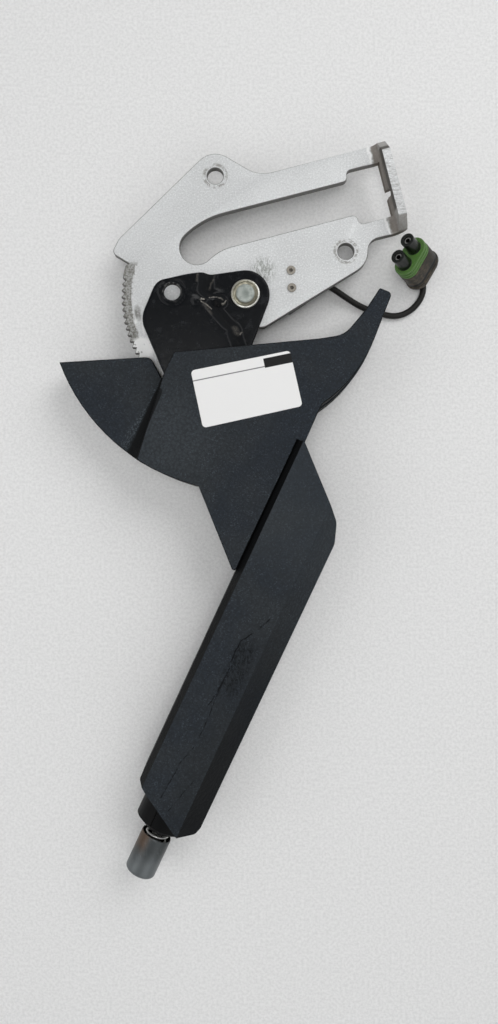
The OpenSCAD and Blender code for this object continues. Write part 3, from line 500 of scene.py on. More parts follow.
class Nodes:
    """A node tree with one way to add a node: its type, its settings, and its sockets' values or links."""

    def __init__(self, tree):
        self.tree = tree

    def node(self, kind, settings=None, inputs=(), out=0):
        n = self.tree.nodes.new(kind)
        for key, value in (settings or {}).items():
            if key == "stops":
                ramp = n.color_ramp.elements
                while len(ramp) < len(value):
                    ramp.new(0.5)
                for stop, (where, colour) in zip(ramp, value):
                    stop.position, stop.color = where, colour
            else:
                setattr(n, key, value)
        for key, value in (inputs.items() if isinstance(inputs, dict) else enumerate(inputs)):
            if isinstance(value, Signal):
                self.tree.links.new(value.socket, n.inputs[key])
            else:
                n.inputs[key].default_value = value
        return Signal(self, n.outputs[out])


class Finish(Nodes):
    """One material: its Principled shader, and Object coordinates in millimetres."""

    def __init__(self, name, **constants):
        self.material = bpy.data.materials.new(name)
        self.material.use_nodes = True
        super().__init__(self.material.node_tree)
        self.shader = self.tree.nodes["Principled BSDF"]
        self.feed(**constants)
        place = self.node("ShaderNodeTexCoord", out="Object")
        self.at = self.node("ShaderNodeVectorMath", {"operation": "SCALE"}, {0: place, "Scale": 1000.0})

    def feed(self, **sockets):
        """Gives the shader's own sockets their signals or plain values."""
        for name, value in sockets.items():
            socket = self.shader.inputs[name.replace("_", " ")]
            if isinstance(value, Signal):
                self.tree.links.new(value.socket, socket)
            else:
                socket.default_value = value
        return self.material

    def surface(self, rough, height, millimetres, strength, **others):
        """Feeds the tone, a roughness and a bump to the shader."""
        bump = {"Height": height, "Distance": millimetres * MM, "Strength": strength}
        return self.feed(Base_Color=self.tone, Roughness=rough, **others,
                         Normal=self.node("ShaderNodeBump", None, bump))

    def part(self, axis):
        return self.node("ShaderNodeSeparateXYZ", None, [self.at], axis)

    def noise(self, per_mm, detail=2.0, rough=0.5, at=None):
        return self.node("ShaderNodeTexNoise", None, {"Vector": at or self.at, "Scale": per_mm,
                         "Detail": detail, "Roughness": rough}, "Fac")

    def cells(self, per_mm, at):
        return self.node("ShaderNodeTexVoronoi", None, {"Vector": at, "Scale": per_mm}, "Distance")

    def stretched(self, turn, scale):
        """Object coordinates turned about Z and scaled per axis, for grain that runs one way."""
        inputs = {"Vector": self.at, "Rotation": (0, 0, turn), "Scale": scale}
        return self.node("ShaderNodeMapping", None, inputs)

    def ease(self, value, low, high):
        """0 below low, 1 above high, and a smooth step between."""
        return self.node("ShaderNodeMapRange", {"interpolation_type": "SMOOTHSTEP"},
                         {"Value": value, "From Min": low, "From Max": high})

    def fall(self, value, low, high):
        """1 below low, 0 above high, and a smooth step between."""
        return 1 - self.ease(value, low, high)

    def blend(self, share, a, b):
        a, b = (c if isinstance(c, Signal) else (*c, 1.0) for c in (a, b))
        return self.node("ShaderNodeMix", {"data_type": "RGBA"}, {0: share, 6: a, 7: b}, 2)

    def coat(self, share, colour):
        """Lays a share of a colour over the tone so far."""
        self.tone = self.blend(share, self.tone, colour)

    def off(self, place):
        """How far right of a place and above it, seen from the front."""
        return [self.part(axis) - float(at) for axis, at in zip("XY", place)]

    def spot(self, x, y, near, far):
        """1 within near millimetres of a place seen from the front, 0 beyond far."""
        return self.fall(distance(*self.off((x, y))), near, far)

    def flat(self, low, high):
        """1 on faces square to the pivot, front or rear, falling to 0 on sloped ones and walls."""
        normal = self.node("ShaderNodeNewGeometry", out="Normal")
        return self.ease(abs(self.node("ShaderNodeSeparateXYZ", None, [normal], "Z")), low, high)

    def on_grip(self):
        """The place across and along the grip, and over its axis."""
        return *turned_axes(*self.off(GRIP_AT), GRIP_TURN), self.part("Z") - GRIP_Z

    def on_connector(self):
        """The place along the pair of silos, across them, and along the connector's axis."""
        x, y, z = (self.part(axis) - float(at) for axis, at in zip("XYZ", CONNECTOR_AT))
        return [x * float(a) + y * float(b) + z * float(c) for a, b, c in CONNECTOR_TURN.T]

    def crease(self, across, along, points, near, far):
        """1 on a broken line through set points, 0 beyond far from it: the least of the distances to its
        straight spans, where the foot on a span is the share of it that the place has passed, held between 0
        and 1."""
        least = None
        for (w, t), (w_end, t_end) in zip(points, points[1:]):
            dw, dt = w_end - w, t_end - t
            passed = ((across - w) * dw + (along - t) * dt) / (dw * dw + dt * dt)
            share = self.node("ShaderNodeClamp", None, [passed])
            off_w, off_t = across - w - share * dw, along - t - share * dt
            away = off_w * off_w + off_t * off_t
            least = away if least is None else least.least(away)
        return self.fall(least.root(), near, far)

    def radius(self):
        """Distance from the lever's pivot, seen from the front."""
        return distance(*self.off(PIVOT))


def scaled(colour, by):
    """A colour times one number, or times one number for each channel."""
    return (np.array(colour) * by).tolist()


def zinc_finish(look):
    """Zinc-plated sheet: satin plating with fine sparkle, dark sheared edges with painted shade along their
    rims, a dirty strip along the teeth with a painted white reflection beside it, a smudge round the hub,
    bolt marks round the holes, a painted glint where the flange bends up, and a browned flange with painted
    shade on its inner face."""
    f = Finish("zinc_plate", Metallic=0.2)
    x, y, z = f.part("X"), f.part("Y"), f.part("Z")
    dark, pale = scaled(look.plate_colour, 0.72), [min(c * 1.3, 1) for c in look.plate_colour]
    cloud = f.ease(f.noise(0.022, 3, 0.55), 0.35, 0.68)
    grain = f.noise(1.0, 3, 0.65, f.stretched(-PLATE_TURN, (0.3, 1.6, 1.0)))
    sparkle = f.noise(1.05, 3, 0.75)
    f.tone = f.blend(cloud * 0.4, look.plate_colour, dark)
    f.coat(f.ease(sparkle, 0.48, 0.72) * 0.8, pale)
    f.coat(f.fall(sparkle, 0.3, 0.5) * 0.5, dark)
    radius = f.radius()
    below = f.fall(y, -30.5, -27.0) * f.fall(x, -60, -50)
    speckle = f.noise(0.8, 4, 0.7)
    teeth = f.ease(radius + 1.6 * f.noise(0.3, 3), 67.0, 67.9) * f.fall(radius, 74, 75) * below
    f.coat(teeth * (0.55 + 0.45 * f.ease(speckle, 0.4, 0.62)), (0.17, 0.165, 0.145))
    inner = f.fall(abs(radius - 66.4), 0.3, 0.8) * below * f.ease(f.noise(0.5, 3, 0.7), 0.48, 0.56)
    f.coat(inner * 0.7, (0.14, 0.13, 0.11))
    lean = f.node("ShaderNodeMapping", None,
                  {"Vector": f.at, "Location": (90.6, 46.0, 0), "Rotation": (0, 0, -0.14)})
    across, along = (f.node("ShaderNodeSeparateXYZ", None, [lean], a) for a in "XY")
    smear = f.fall((across * across / 5.0 + along * along / 24.0).root(), 0.45, 1.25)
    f.coat(smear * f.ease(f.noise(0.5, 4, 0.7), 0.25, 0.55) * 0.85, (0.16, 0.155, 0.14))
    streak = f.noise(1.0, 3, 0.6, f.stretched(-0.5, (0.9, 0.12, 1.0)))
    band = f.ease(radius, 60, 63) * f.fall(radius, 66, 67.5)
    burnish = band * f.fall(y, -64, -58) * f.ease(streak, 0.5, 0.62)
    f.coat(burnish * 0.7, (0.9, 0.9, 0.89))
    # Painted reflection: a near-white patch by the teeth, where the plate looks bright
    glare_patch = f.spot(-81.0, -79.0, 5.5, 8.0) * f.ease(f.noise(0.4, 3), 0.3, 0.42)
    f.coat(glare_patch, (0.93, 0.93, 0.92))
    scratch = f.noise(0.7, 4, 0.75, f.stretched(0.9, (1.6, 0.7, 1.0)))
    hub = f.ease(radius, 14.2, 15.2) * f.spot(-10.5, -33.0, 3.5, 10.5) * f.ease(scratch, 0.42, 0.6)
    f.coat(hub * 0.8, (0.2, 0.215, 0.19))
    ring = f.noise(0.55, 3, 0.75)
    for side in (-1, 1):
        away = distance(x - side * MOUNT_HOLE[0], y - side * MOUNT_HOLE[1])
        mark = f.ease(away, 5.3, 6.0) * f.fall(away, 6.8, 7.8) * f.ease(ring, 0.44, 0.58)
        f.coat(mark * 0.75, (0.22, 0.21, 0.19))
    # Dark sheared edges: partly their own dull cut colour, partly painted shade that outlines the plate
    wall = f.fall(z, 4.58, 4.799)
    f.coat(wall * (0.7 + 0.3 * speckle), (0.1, 0.095, 0.085))
    u, v = turned_axes(x, y, PLATE_TURN)
    sheared = f.noise(1.0, 3, 0.7, f.stretched(-PLATE_TURN, (0.5, 0.22, 0.18)))
    # Painted glint: a pale line on the plate where the flange starts to bend up
    reach = u + 5.0 * f.noise(0.2, 3)
    lip = f.ease(reach, 59.8, 61.0) * f.fall(reach, 61.4, 62.4) * f.ease(z, 4.7, 4.79)
    f.coat(lip * 0.6, (0.97, 0.97, 0.96))
    flange = f.ease(reach, 61.4, 63.4) * f.fall(z, 13.3, 13.75)
    ends = f.ease(abs(v - 2.0), 17.5, 19.0) * f.ease(z, 6.0, 8.0)
    f.coat(flange * (0.7 + 0.3 * sheared - 0.25 * ends), (0.15, 0.125, 0.1))
    # Painted shade on the flange's steep inner face
    f.coat(flange * f.ease(z, 7.0, 9.5) * (1 - ends) * 0.8, (0.04, 0.036, 0.03))
    rim = f.ease(z, 13.3, 13.75)
    chips = f.noise(1.0, 3, 0.75, f.stretched(-PLATE_TURN, (0.2, 1.1, 0.5)))
    f.coat(rim * f.ease(chips, 0.44, 0.64) * 0.6, (0.2, 0.19, 0.18))
    rough = 0.4 + 0.12 * cloud + 0.14 * sparkle + 0.2 * teeth.most(wall)
    height = sparkle * 0.7 + grain * 0.4 + hub * speckle * 2.0 + teeth * speckle * 0.3 - rim * chips * 1.2
    return f.surface(rough, height, 0.06, 0.5)


def rivet_finish():
    """Dull plated rivets: brownish grey heads with painted shade, near black, in their hollow."""
    f = Finish("dull_rivet", Metallic=0.7)
    stain = f.noise(0.9, 3, 0.6)
    hollow = f.fall(f.part("Z"), 5.05, 5.5)
    f.tone = f.blend(stain, (0.4, 0.375, 0.33), (0.2, 0.18, 0.15))
    # Painted shade: the hollow in each rivet's head is darkened
    f.coat(hollow * 0.8, (0.035, 0.03, 0.026))
    return f.surface(0.3 + 0.25 * stain, stain, 0.04, 0.5)


def steel_finish(look):
    """Plain steel for pins, springs and screws: fine turning marks and a little dark stain."""
    f = Finish("plain_steel", Metallic=0.9)
    stain = f.ease(f.noise(0.4, 3, 0.6), 0.5, 0.75)
    marks = f.noise(3.0, 2, 0.6)
    f.tone = f.blend(stain * 0.6, look.steel_colour, scaled(look.steel_colour, 0.5))
    rough = 0.26 + 0.2 * stain + 0.1 * marks
    return f.surface(rough, marks, 0.02, 0.4)


def terminal_finish(look):
    """Bright rims on the terminals, and painted shade, near black, in the bore, told by the distance from
    each silo's axis.
    """
    f = Finish("terminal_tin", Metallic=0.8)
    x, y, _ = f.on_connector()
    off = abs(x) - SILO_PITCH / 2
    bore = f.fall(distance(off, y), 1.25, 1.4)
    stain = f.noise(0.8, 3, 0.6)
    f.tone = f.blend(stain * 0.5, look.steel_colour, scaled(look.steel_colour, 0.5))
    # Painted shade, near black, inside each terminal's bore
    f.coat(bore, (0.01, 0.01, 0.01))
    return f.surface(0.3 + 0.2 * stain, stain, 0.02, 0.3)


def pivot_finish():
    """The pivot rivet's head: dull grey-green plating, darker in its middle, with fine pits."""
    f = Finish("pivot_plating", Metallic=0.55)
    stain = f.noise(0.35, 3, 0.6)
    pits = f.noise(1.6, 3, 0.7)
    middle = f.fall(f.radius() + 2.0 * stain, 1.6, 4.2)
    f.tone = f.blend(f.ease(stain, 0.4, 0.65), (0.4, 0.43, 0.4), (0.28, 0.31, 0.285))
    f.coat(middle * 0.6, (0.16, 0.185, 0.17))
    return f.surface(0.42 + 0.2 * pits, pits, 0.05, 0.5)


def washer_finish():
    """Yellowed plating on the washer: a pale rim with a painted highlight on one side, an olive band, and
    turned rings.
    """
    f = Finish("yellowed_washer", Metallic=0.75)
    radius = f.radius()
    rings = f.node("ShaderNodeMath", {"operation": "SINE"}, [radius * 9.0])
    stain = f.ease(f.noise(0.6, 3), 0.4, 0.7)
    # Painted highlight: the pale rim is made brighter on one side, as if lit from there
    lit = f.ease(f.part("X") - f.part("Y") - float(PIVOT[0] - PIVOT[1]), -6.0, 8.0)
    rim = f.ease(radius, 7.2, 7.6) * (0.35 + 0.6 * lit)
    f.tone = f.blend(stain * 0.7, (0.32, 0.305, 0.235), (0.17, 0.16, 0.115))
    f.coat(rim * (1 - 0.3 * stain), (0.72, 0.72, 0.68))
    return f.surface(0.3 + 0.18 * stain, rings, 0.01, 0.4)


# Painted highlights on the arm's joggle, as places seen from the front, with the half-width and tone of each
ARM_GLINTS = (
    (((-46.0, -53.6), (-45.2, -53.3), (-43.9, -53.5)), 0.6, 0.34),
    (((-40.9, -52.6), (-38.8, -52.0), (-36.8, -51.8)), 0.5, 0.26),
    (((-35.8, -52.1), (-34.6, -51.7), (-33.6, -52.2)), 0.75, 0.2),
    (((-31.6, -52.4), (-32.2, -53.6), (-33.8, -54.7)), 0.6, 0.32),
    (((-45.6, -54.6), (-43.0, -56.2), (-39.6, -58.8)), 0.5, 0.3),
    (((-43.9, -55.9), (-39.9, -61.5)), 1.5, 0.045),
    (((-47.5, -39.1), (-48.1, -43.2)), 0.8, 0.06),
    (((-38.9, -40.1), (-41.4, -46.2)), 0.9, 0.07),
    (((-26.4, -69.0), (-25.6, -71.2)), 2.8, 0.1),
    (((-22.5, -70.7), (-23.5, -71.8)), 0.7, 0.22))


def black_coat_finish(look):
    """Black coat on the pressed arm: slight orange peel, dust, a few pale flecks, a duller coat on the
    joggle's slopes with painted highlights along its ridge and dart, and a scuffed rim round the pin's hole
    and along the cut edge."""
    f = Finish("black_coat", Specular_IOR_Level=0.26)
    peel = f.noise(0.55, 2, 0.5)
    dust = f.ease(f.noise(0.16, 4, 0.7), 0.5, 0.75)
    fleck = f.ease(f.noise(1.1, 3, 0.7), 0.68, 0.73)
    f.tone = f.blend(dust * 0.6, look.arm_colour, scaled(look.arm_colour, 2.2))
    f.coat(fleck * 0.7, (0.12, 0.12, 0.118))
    worn = f.spot(-62.1, -49.2, 5.0, 5.9) * f.ease(f.noise(0.8, 3), 0.45, 0.6)
    f.coat(worn * 0.6, (0.16, 0.16, 0.155))
    grit = f.ease(f.noise(0.9, 3, 0.7), 0.36, 0.6)
    drift = (f.noise(0.45, 3, 0.6) - 0.5) * 1.6
    # Painted highlights: pale lines along the joggle's ridge and dart, where it would catch the light
    for points, width, pale in ARM_GLINTS:
        glint = f.crease(f.part("X") + drift, f.part("Y") - drift, points, 0.1, width)
        f.coat(glint * (0.25 + 0.75 * grit), (pale, 0.94 * pale, 0.84 * pale))
    rough_edge = f.ease(f.noise(0.5, 3), 0.42, 0.56)
    edge = (1 - f.flat(0.12, 0.6)) * f.ease(f.radius(), 13.2, 14.2) * rough_edge
    f.coat(edge * 0.35, (0.13, 0.125, 0.115))
    rough = 0.88 - 0.68 * f.flat(0.965, 0.997) + 0.1 * dust + 0.06 * peel
    return f.surface(rough, peel, 0.14, 0.3)


# The line of painted shade along the step from the wedge up to the hub on the front cover, seen from the
# front
WEDGE_SHADE_LINE = ((-69.9, -106.4), (-84.6, -140.9))

# Creases on the grip's front, as points across and along it, with the width of each
GRIP_CREASES = (
    (((5.2, -14.3), (0.7, -24.1), (-4.2, -31.6), (-4.7, -38.9), (-3.4, -51.3), (-4.3, -64.7),
      (-5.5, -71.7)), 0.5),
    (((-3.6, -52.0), (-3.6, -66.0), (-2.6, -79.6), (-2.4, -90.0)), 0.35),
    (((-3.2, -96.5), (-6.0, -106.8), (-6.8, -116.3), (-7.7, -129.6)), 0.42),
    (((4.9, -113.4), (1.9, -123.8), (-1.2, -135.0)), 0.38))


def grained_finish(name, colour, crease=False):
    """Moulded dark plastic: a leather-like grain of small cells with soft walls, broad bluish patches, a
    painted sheen on the hub's lower left, and pale specks on its flats, painted shade, near black, on its
    walls and slopes, and dotted wear along the edges between them. On the grip, fine creases follow set
    lines, given by the distance from a broken line, with a wrinkled patch beside the longest, both carved and
    darkened with painted shade; painted light brightens its upper end, and the sloped side's painted light
    fades to painted shade towards the button; on the covers, a band of painted shade lies along the step up
    from the wedge."""
    f = Finish(name, Specular_IOR_Level=0.13)
    wander = f.noise(0.16, 4, 0.65)
    shift = f.node("ShaderNodeTexNoise", None, {"Vector": f.at, "Scale": 0.4, "Detail": 2.0}, "Color")
    warp = f.node("ShaderNodeVectorMath", {"operation": "MULTIPLY_ADD"}, [shift, (1.6, 1.6, 1.6), f.at])
    pebble = f.cells(0.62, warp)
    small = f.cells(1.5, warp)
    fine = f.noise(1.3, 3, 0.65)
    patch = f.ease(f.noise(0.024, 3, 0.55), 0.35, 0.68)
    f.tone = f.blend(patch * 0.8, colour, scaled(colour, (0.68, 0.76, 0.92)))
    # Painted sheen: the hub's lower left is made lighter
    f.coat(f.spot(-62, -130, 8, 36) * 0.7, scaled(colour, 1.6))
    f.coat(f.ease(pebble, 0.2, 0.8) * 0.5, scaled(colour, 0.5))
    speck = f.ease(fine, 0.52, 0.7) * (0.4 + 0.6 * f.ease(wander, 0.4, 0.6))
    f.coat(speck * 0.6, scaled(colour, (2.7, 2.8, 3.0)))
    height = (1 - pebble) * 0.6 + (1 - small) * 0.25 + fine * 0.4 + wander * 0.9
    rough = 0.46 + 0.1 * patch + 0.16 * fine
    flat = f.flat(0.88, 0.985)
    slope = scaled(colour, 0.09)
    if crease:
        w, t, z = f.on_grip()
        drift = (f.noise(0.22, 3, 0.6) - 0.5) * 1.6
        broken = 0.12 + 0.88 * f.ease(f.noise(0.3, 3, 0.65), 0.42, 0.54)
        fold = 0.0
        for points, width in GRIP_CREASES:
            fold = f.crease(w + drift, t, points, 0.05, width).most(fold)
        front = f.ease(z, 12, 16)
        fold = fold * broken * front
        beside = f.ease(t, -66, -58) * f.fall(t, -36, -26) * f.fall(abs(w - 0.5), 3.5, 8)
        crumple = beside * front
        ripple = f.noise(0.62, 2, 0.5, f.stretched(-GRIP_TURN - 0.5, (1.5, 0.45, 1.0)))
        wrinkle = f.ease(1 - abs(2 * ripple - 1), 0.9, 0.98) * crumple
        height = height - 2.2 * fold - 1.4 * wrinkle
        shade = f.ease(w + drift, -5, 1) * f.fall(t, -36, -8) + f.ease(t, 0, 30) * -0.5
        f.coat(shade.most(0.0) * 0.25, scaled(colour, 0.3))
        # Painted light: the grip is lighter towards its upper end
        f.coat(f.ease(t, -5, 35) * 0.3, scaled(colour, 1.7))
        # Painted shade in the creases and wrinkles, which the bump also carves
        f.coat(fold * 0.85, scaled(colour, 0.12))
        f.coat(wrinkle * 0.75, scaled(colour, 0.15))
        # Painted light and shade on the grip's sloped side: lit near its upper end, shaded towards the button
        lit = f.ease(w, 8.0, 10.0) * (0.14 + 0.86 * f.ease(t, -130, 30))
        slope = f.blend(lit, slope, f.tone)
    # Painted shade: walls and slopes go near black
    f.coat(1 - flat, slope)
    wear = flat * (1 - f.flat(0.985, 0.997)) * f.ease(fine, 0.5, 0.62)
    f.coat(wear * 0.5, scaled(colour, 4.0))
    if not crease:
        # Painted shade: a near-black band along the step up from the wedge
        band = f.crease(f.part("X"), f.part("Y"), WEDGE_SHADE_LINE, 2.3, 3.1) * f.ease(f.part("Z"), 9, 11)
        f.coat(band * 0.92, scaled(colour, 0.12))
    return f.surface(rough, height, 0.3, 0.75)


def smooth_plastic_finish(name, colour, rough, gloss=0.0, shine=0.5):
    """Plain moulded plastic: faint flow marks, fine grain and a little handling dirt."""
    f = Finish(name, Coat_Roughness=0.2, Specular_IOR_Level=shine)
    flow = f.noise(0.12, 3, 0.5)
    fine = f.noise(2.5, 2, 0.6)
    dirt = f.ease(f.noise(0.5, 4, 0.65), 0.55, 0.75)
    f.tone = f.blend(flow * 0.5, colour, scaled(colour, 0.75))
    f.coat(dirt * 0.25, [1.6 * c + 0.006 for c in colour])
    rough = rough + 0.12 * dirt + 0.05 * fine
    return f.surface(rough, fine, 0.04, 0.3, Coat_Weight=gloss - gloss * 0.6 * dirt)


def button_finish(look):
    """The push button's dark blued metal: a brown bloom by its rim, painted shade on its upper side and a
    painted grey sheen lower down, fine scratches along it, and a black inside, told from the outside by the
    distance from the axis."""
    f = Finish("button_gunmetal", Metallic=0.7)
    w, t, z = f.on_grip()
    blotch = f.noise(0.16, 3, 0.6)
    marks = f.noise(1.2, 3, 0.7, f.stretched(-GRIP_TURN, (1.4, 0.1, 1.0)))
    sheen = f.fall(t + 7.0 * blotch - 0.25 * w, -172.5, -160.0)
    f.tone = f.blend(sheen, scaled(look.button_colour, 0.45), look.button_colour)
    bloom = f.ease(t + 8 * blotch, -167, -158) * f.fall(w, -6.0, -1.0)
    f.coat(bloom * 0.8, (0.11, 0.068, 0.042))
    f.coat(f.ease(marks, 0.56, 0.75) * 0.4, (0.24, 0.25, 0.26))
    within = f.fall(distance(w, z), 8.5, 8.75)
    f.coat(within * f.ease(t, -178.5, -177.5), (0.004, 0.004, 0.004))
    return f.surface(0.32 + 0.2 * marks, marks, 0.03, 0.4)


def connector_finish(look):
    """Connector moulding, told apart along its axis: a brownish grey body, darker on one half, with a dark
    parting line, a green face round the silos that the seal's lip covers, and glossy black silos."""
    f = Finish("connector_moulding", Coat_Roughness=0.15, Coat_Weight=0.12, Specular_IOR_Level=0.3)
    x, y, along = f.on_connector()
    dirt = f.noise(0.45, 4, 0.65)
    silo = f.ease(along, BODY_L + 0.2, BODY_L + 0.6)
    f.tone = f.blend(f.ease(dirt, 0.38, 0.66), look.housing_colour, (0.08, 0.062, 0.042))
    f.coat(f.ease(x, -3, 5) * 0.6, (0.02, 0.02, 0.017))
    line = f.fall(abs(along - 4.2), 0.75, 1.25)
    f.coat(line, (0.006, 0.006, 0.006))
    off = abs(x) - SILO_PITCH / 2
    face = BODY_L + SEAL_L
    lip = f.ease(distance(off, y), 4.1, 4.35) * f.fall(along, face + 0.4, face + 0.7)
    f.coat(silo, (0.003, 0.0045, 0.003))
    f.coat(silo * lip, look.seal_colour)
    rough = 0.5 - 0.28 * silo + 0.15 * dirt
    return f.surface(rough, dirt - line * 2.0, 0.12, 0.4)


def paper_finish(look):
    """The blank paper label: fibre grain, one thin rule, and a plain dark block in one corner."""
    f = Finish("label_paper", Specular_IOR_Level=0.2)
    fibre = f.noise(1.2, 4, 0.7)
    along, across = turned_axes(*f.off(LABEL_AT), LABEL_TURN)
    block = f.ease(along, 12.4, 12.6) * f.ease(across, 9.3, 9.5) * f.fall(across, 14.6, 14.8)
    rule = f.fall(abs(across - 10.2), 0.2, 0.42) * f.fall(along, 12.4, 12.6)
    f.tone = f.blend(fibre * 0.3, look.label_colour, scaled(look.label_colour, 0.92))
    f.coat(rule * 0.8, (0.03, 0.03, 0.03))
    f.coat(block, (0.008, 0.008, 0.008))
    return f.surface(0.5, fibre, 0.03, 0.3)


def floor_finish(look):
    """A plain pale floor with a fine granular mottle."""
    f = Finish("pale_floor")
    mottle = f.noise(0.6, 4, 0.75)
    f.tone = f.blend(f.ease(mottle, 0.32, 0.66), scaled(look.floor_colour, 0.86), look.floor_colour)
    return f.surface(0.6, mottle, 0.35, 0.35)


# Settings

def colour_setting(name, words, value):
    return bpy.props.FloatVectorProperty(name=name, description=words, default=value, subtype="COLOR",
                                         size=3, min=0.0, max=1.0)


def length_setting(name, words, value):
    return bpy.props.FloatProperty(name=name, description=words, default=value * MM, min=0.0,
                                   subtype="DISTANCE", unit="LENGTH", precision=5)


class BrakeLeverSettings(bpy.types.PropertyGroup):
    """Sizes and colours of the lever's finish."""
    cover_edge: length_setting("Cover edge", "Radius of the covers' moulded edges", 0.8)
    grip_edge: length_setting("Grip edge", "Radius of the grip's moulded edges", 1.2)
    plate_edge: length_setting("Plate edge", "Width of the plate's broken edges", 0.45)
    arm_edge: length_setting("Arm edge", "Radius of the pressed arm's edges", 0.6)
    plate_colour: colour_setting("Plate", "Zinc-plated sheet", (0.69, 0.7, 0.7))
    steel_colour: colour_setting("Steel", "Pins, rivets and springs", (0.6, 0.6, 0.58))
    arm_colour: colour_setting("Arm", "Black coat of the pressed arm", (0.004, 0.0048, 0.006))
    cover_colour: colour_setting("Covers", "Moulded covers and grip", (0.026, 0.0305, 0.0345))
    collar_colour: colour_setting("Collar", "End collar and switch", (0.0034, 0.0035, 0.0038))
    button_colour: colour_setting("Button", "Push button", (0.15, 0.165, 0.17))
    lead_colour: colour_setting("Lead", "Insulation of the switch's lead", (0.009, 0.0085, 0.0075))
    housing_colour: colour_setting("Connector", "Connector housing", (0.03, 0.027, 0.022))
    seal_colour: colour_setting("Seal", "Ribbed connector seal", (0.085, 0.19, 0.04))
    label_colour: colour_setting("Label", "Paper label", (0.88, 0.875, 0.865))
    floor_colour: colour_setting("Floor", "Pale floor", (0.87, 0.868, 0.862))


# Operators

class BRAKE_OT_camera(bpy.types.Operator):
    """Sets the camera straight over the lever, as in the photograph"""
    bl_idname = "brake.camera"
    bl_label = "Camera"

    def execute(self, context):
        data = bpy.data.cameras.new("photo_camera")
        data.sensor_fit = "VERTICAL"
        data.sensor_height = SENSOR_HEIGHT
        data.lens = SENSOR_HEIGHT * FOCAL_SHARE
        data.clip_start = 0.01
        camera = bpy.data.objects.new("photo_camera", data)
        camera.location = (CAMERA_FOOT[0] * MM, CAMERA_FOOT[1] * MM, CAMERA_HEIGHT * MM)
        context.scene.collection.objects.link(camera)
        context.scene.camera = camera
        return {"FINISHED"}


class BRAKE_OT_lead(bpy.types.Operator):
    """Lays the switch's lead along its route and dresses the connector on its end"""
    bl_idname = "brake.lead"
    bl_label = "Lead and connector"

    def execute(self, context):
        look = context.scene.brake_lever
        path = smooth_line(LEAD_ROUTE, 8)
        rubber = smooth_plastic_finish("lead_insulation", look.lead_colour, 0.5, shine=0.3)
        lead = add_piece("lead", tube(path, LEAD_D / 2, 20), rubber, "switch_wire", smooth=60)
        housing = connector_finish(look)
        pieces = [dress("connector_housing", housing, 0.35), dress("connector_lock", housing, 0.4)]
        seal = smooth_plastic_finish("ribbed_seal", look.seal_colour, 0.45, 0.1)
        pieces.append(dress("connector_seal", seal, 0.3))
        pieces.append(self.terminals(look))
        paint("switch_gland", rubber)
        return {"FINISHED"}

    def terminals(self, look):
        """Two hollow terminals, each a tube profile turned about its silo's axis, with a rolled rim."""
        low, high = BODY_L + 0.1, BODY_L + SEAL_L + SILO_L - 1.2
        wall = [(1.2, low), (1.9, low), (1.9, high - 0.3), (1.75, high), (1.4, high), (1.2, high - 0.3)]

        def in_silo(side):
            def place(x, y, z):
                return connector_point(x + side * SILO_PITCH / 2, y, z)
            return turned(wall, 32, place, ring=True)

        (points, faces), (others, more) = in_silo(-1), in_silo(1)
        both = np.vstack([points, others]), np.vstack([faces, np.array(more) + len(points)]).tolist()
        return add_piece("terminals_turned", both, terminal_finish(look), "connector_terminals", smooth=50)


class BRAKE_OT_plate(bpy.types.Operator):
    """Dresses the toothed plate, its bush and the switch behind it"""
    bl_idname = "brake.plate"
    bl_label = "Ratchet plate and switch"

    def execute(self, context):
        look = context.scene.brake_lever
        steel = steel_finish(look)
        dress("ratchet_plate", zinc_finish(look), look.plate_edge / MM, sides=((1, PLATE_Z), (-1, 0.0)))
        dress("switch_rivets", rivet_finish(), 0.25, 2)
        black = smooth_plastic_finish("switch_moulding", look.collar_colour, 0.45)
        dress("switch_body", black, 0.6)
        dress("switch_lid", black, 0.3)
        paint("switch_plunger", smooth_plastic_finish("plunger_nylon", (0.7, 0.69, 0.64), 0.4))
        low, high = (np.array(corner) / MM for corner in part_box("plunger_spring"))
        middle, wire = (low + high) / 2, 0.25
        radius, turns = (high - low)[1] / 2 - wire, 4
        y, z, x = helix(radius, turns, low[0] + wire, high[0] - wire)
        shape = tube(np.stack([x, middle[1] + y, middle[2] + z], -1), wire, 8, up=(1, 0, 0))
        spring = add_piece("plunger_spring_wound", shape, steel, "plunger_spring", smooth=80)
        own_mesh(spring)
        paint("pivot_bush", smooth_plastic_finish("bush_bronze", (0.35, 0.24, 0.1), 0.4))
        return {"FINISHED"}


class BRAKE_OT_arm(bpy.types.Operator):
    """Presses the black arm with its joggle, and sets the pivot rivet, washer and cam"""
    bl_idname = "brake.arm"
    bl_label = "Lever arm and pivot"

    def execute(self, context):
        look = context.scene.brake_lever
        tab = [(*(grip_point(w, t, 0)[:2] - PIVOT), r) for w, t, r in ARM_TAB]
        hub = [(ARM_HUB_R * cos(radians(a)), ARM_HUB_R * sin(radians(a)), 0) for a in range(-26, 101, 6)]
        outline = fillet_path([*tab, *ARM_NECK, *hub, *ARM_HEAD]) + PIVOT
        turn = np.linspace(0, tau, 40, endpoint=False)
        circle = np.stack([np.cos(turn), np.sin(turn)], -1)
        holes = [PIVOT + place + radius * circle for place, radius in ARM_HOLES]
        sheet = pressed_sheet(outline, holes, arm_height, ARM_SHEET, look.arm_edge / MM, ARM_STEP)
        add_piece("pressed_arm", sheet, black_coat_finish(look), "lever_arm", smooth=50)

        def at_pivot(x, y, z):
            return np.stack([PIVOT[0] + x, PIVOT[1] + y, z], -1)

        rivet, washer = turned(RIVET_PROFILE, 64, at_pivot), turned(WASHER_PROFILE, 64, at_pivot, ring=True)
        add_piece("pivot_rivet_turned", rivet, pivot_finish(), "pivot_rivet", smooth=45)
        add_piece("pivot_washer_turned", washer, washer_finish(), "pivot_washer", smooth=35)
        paint("switch_cam", steel_finish(look))
        return {"FINISHED"}


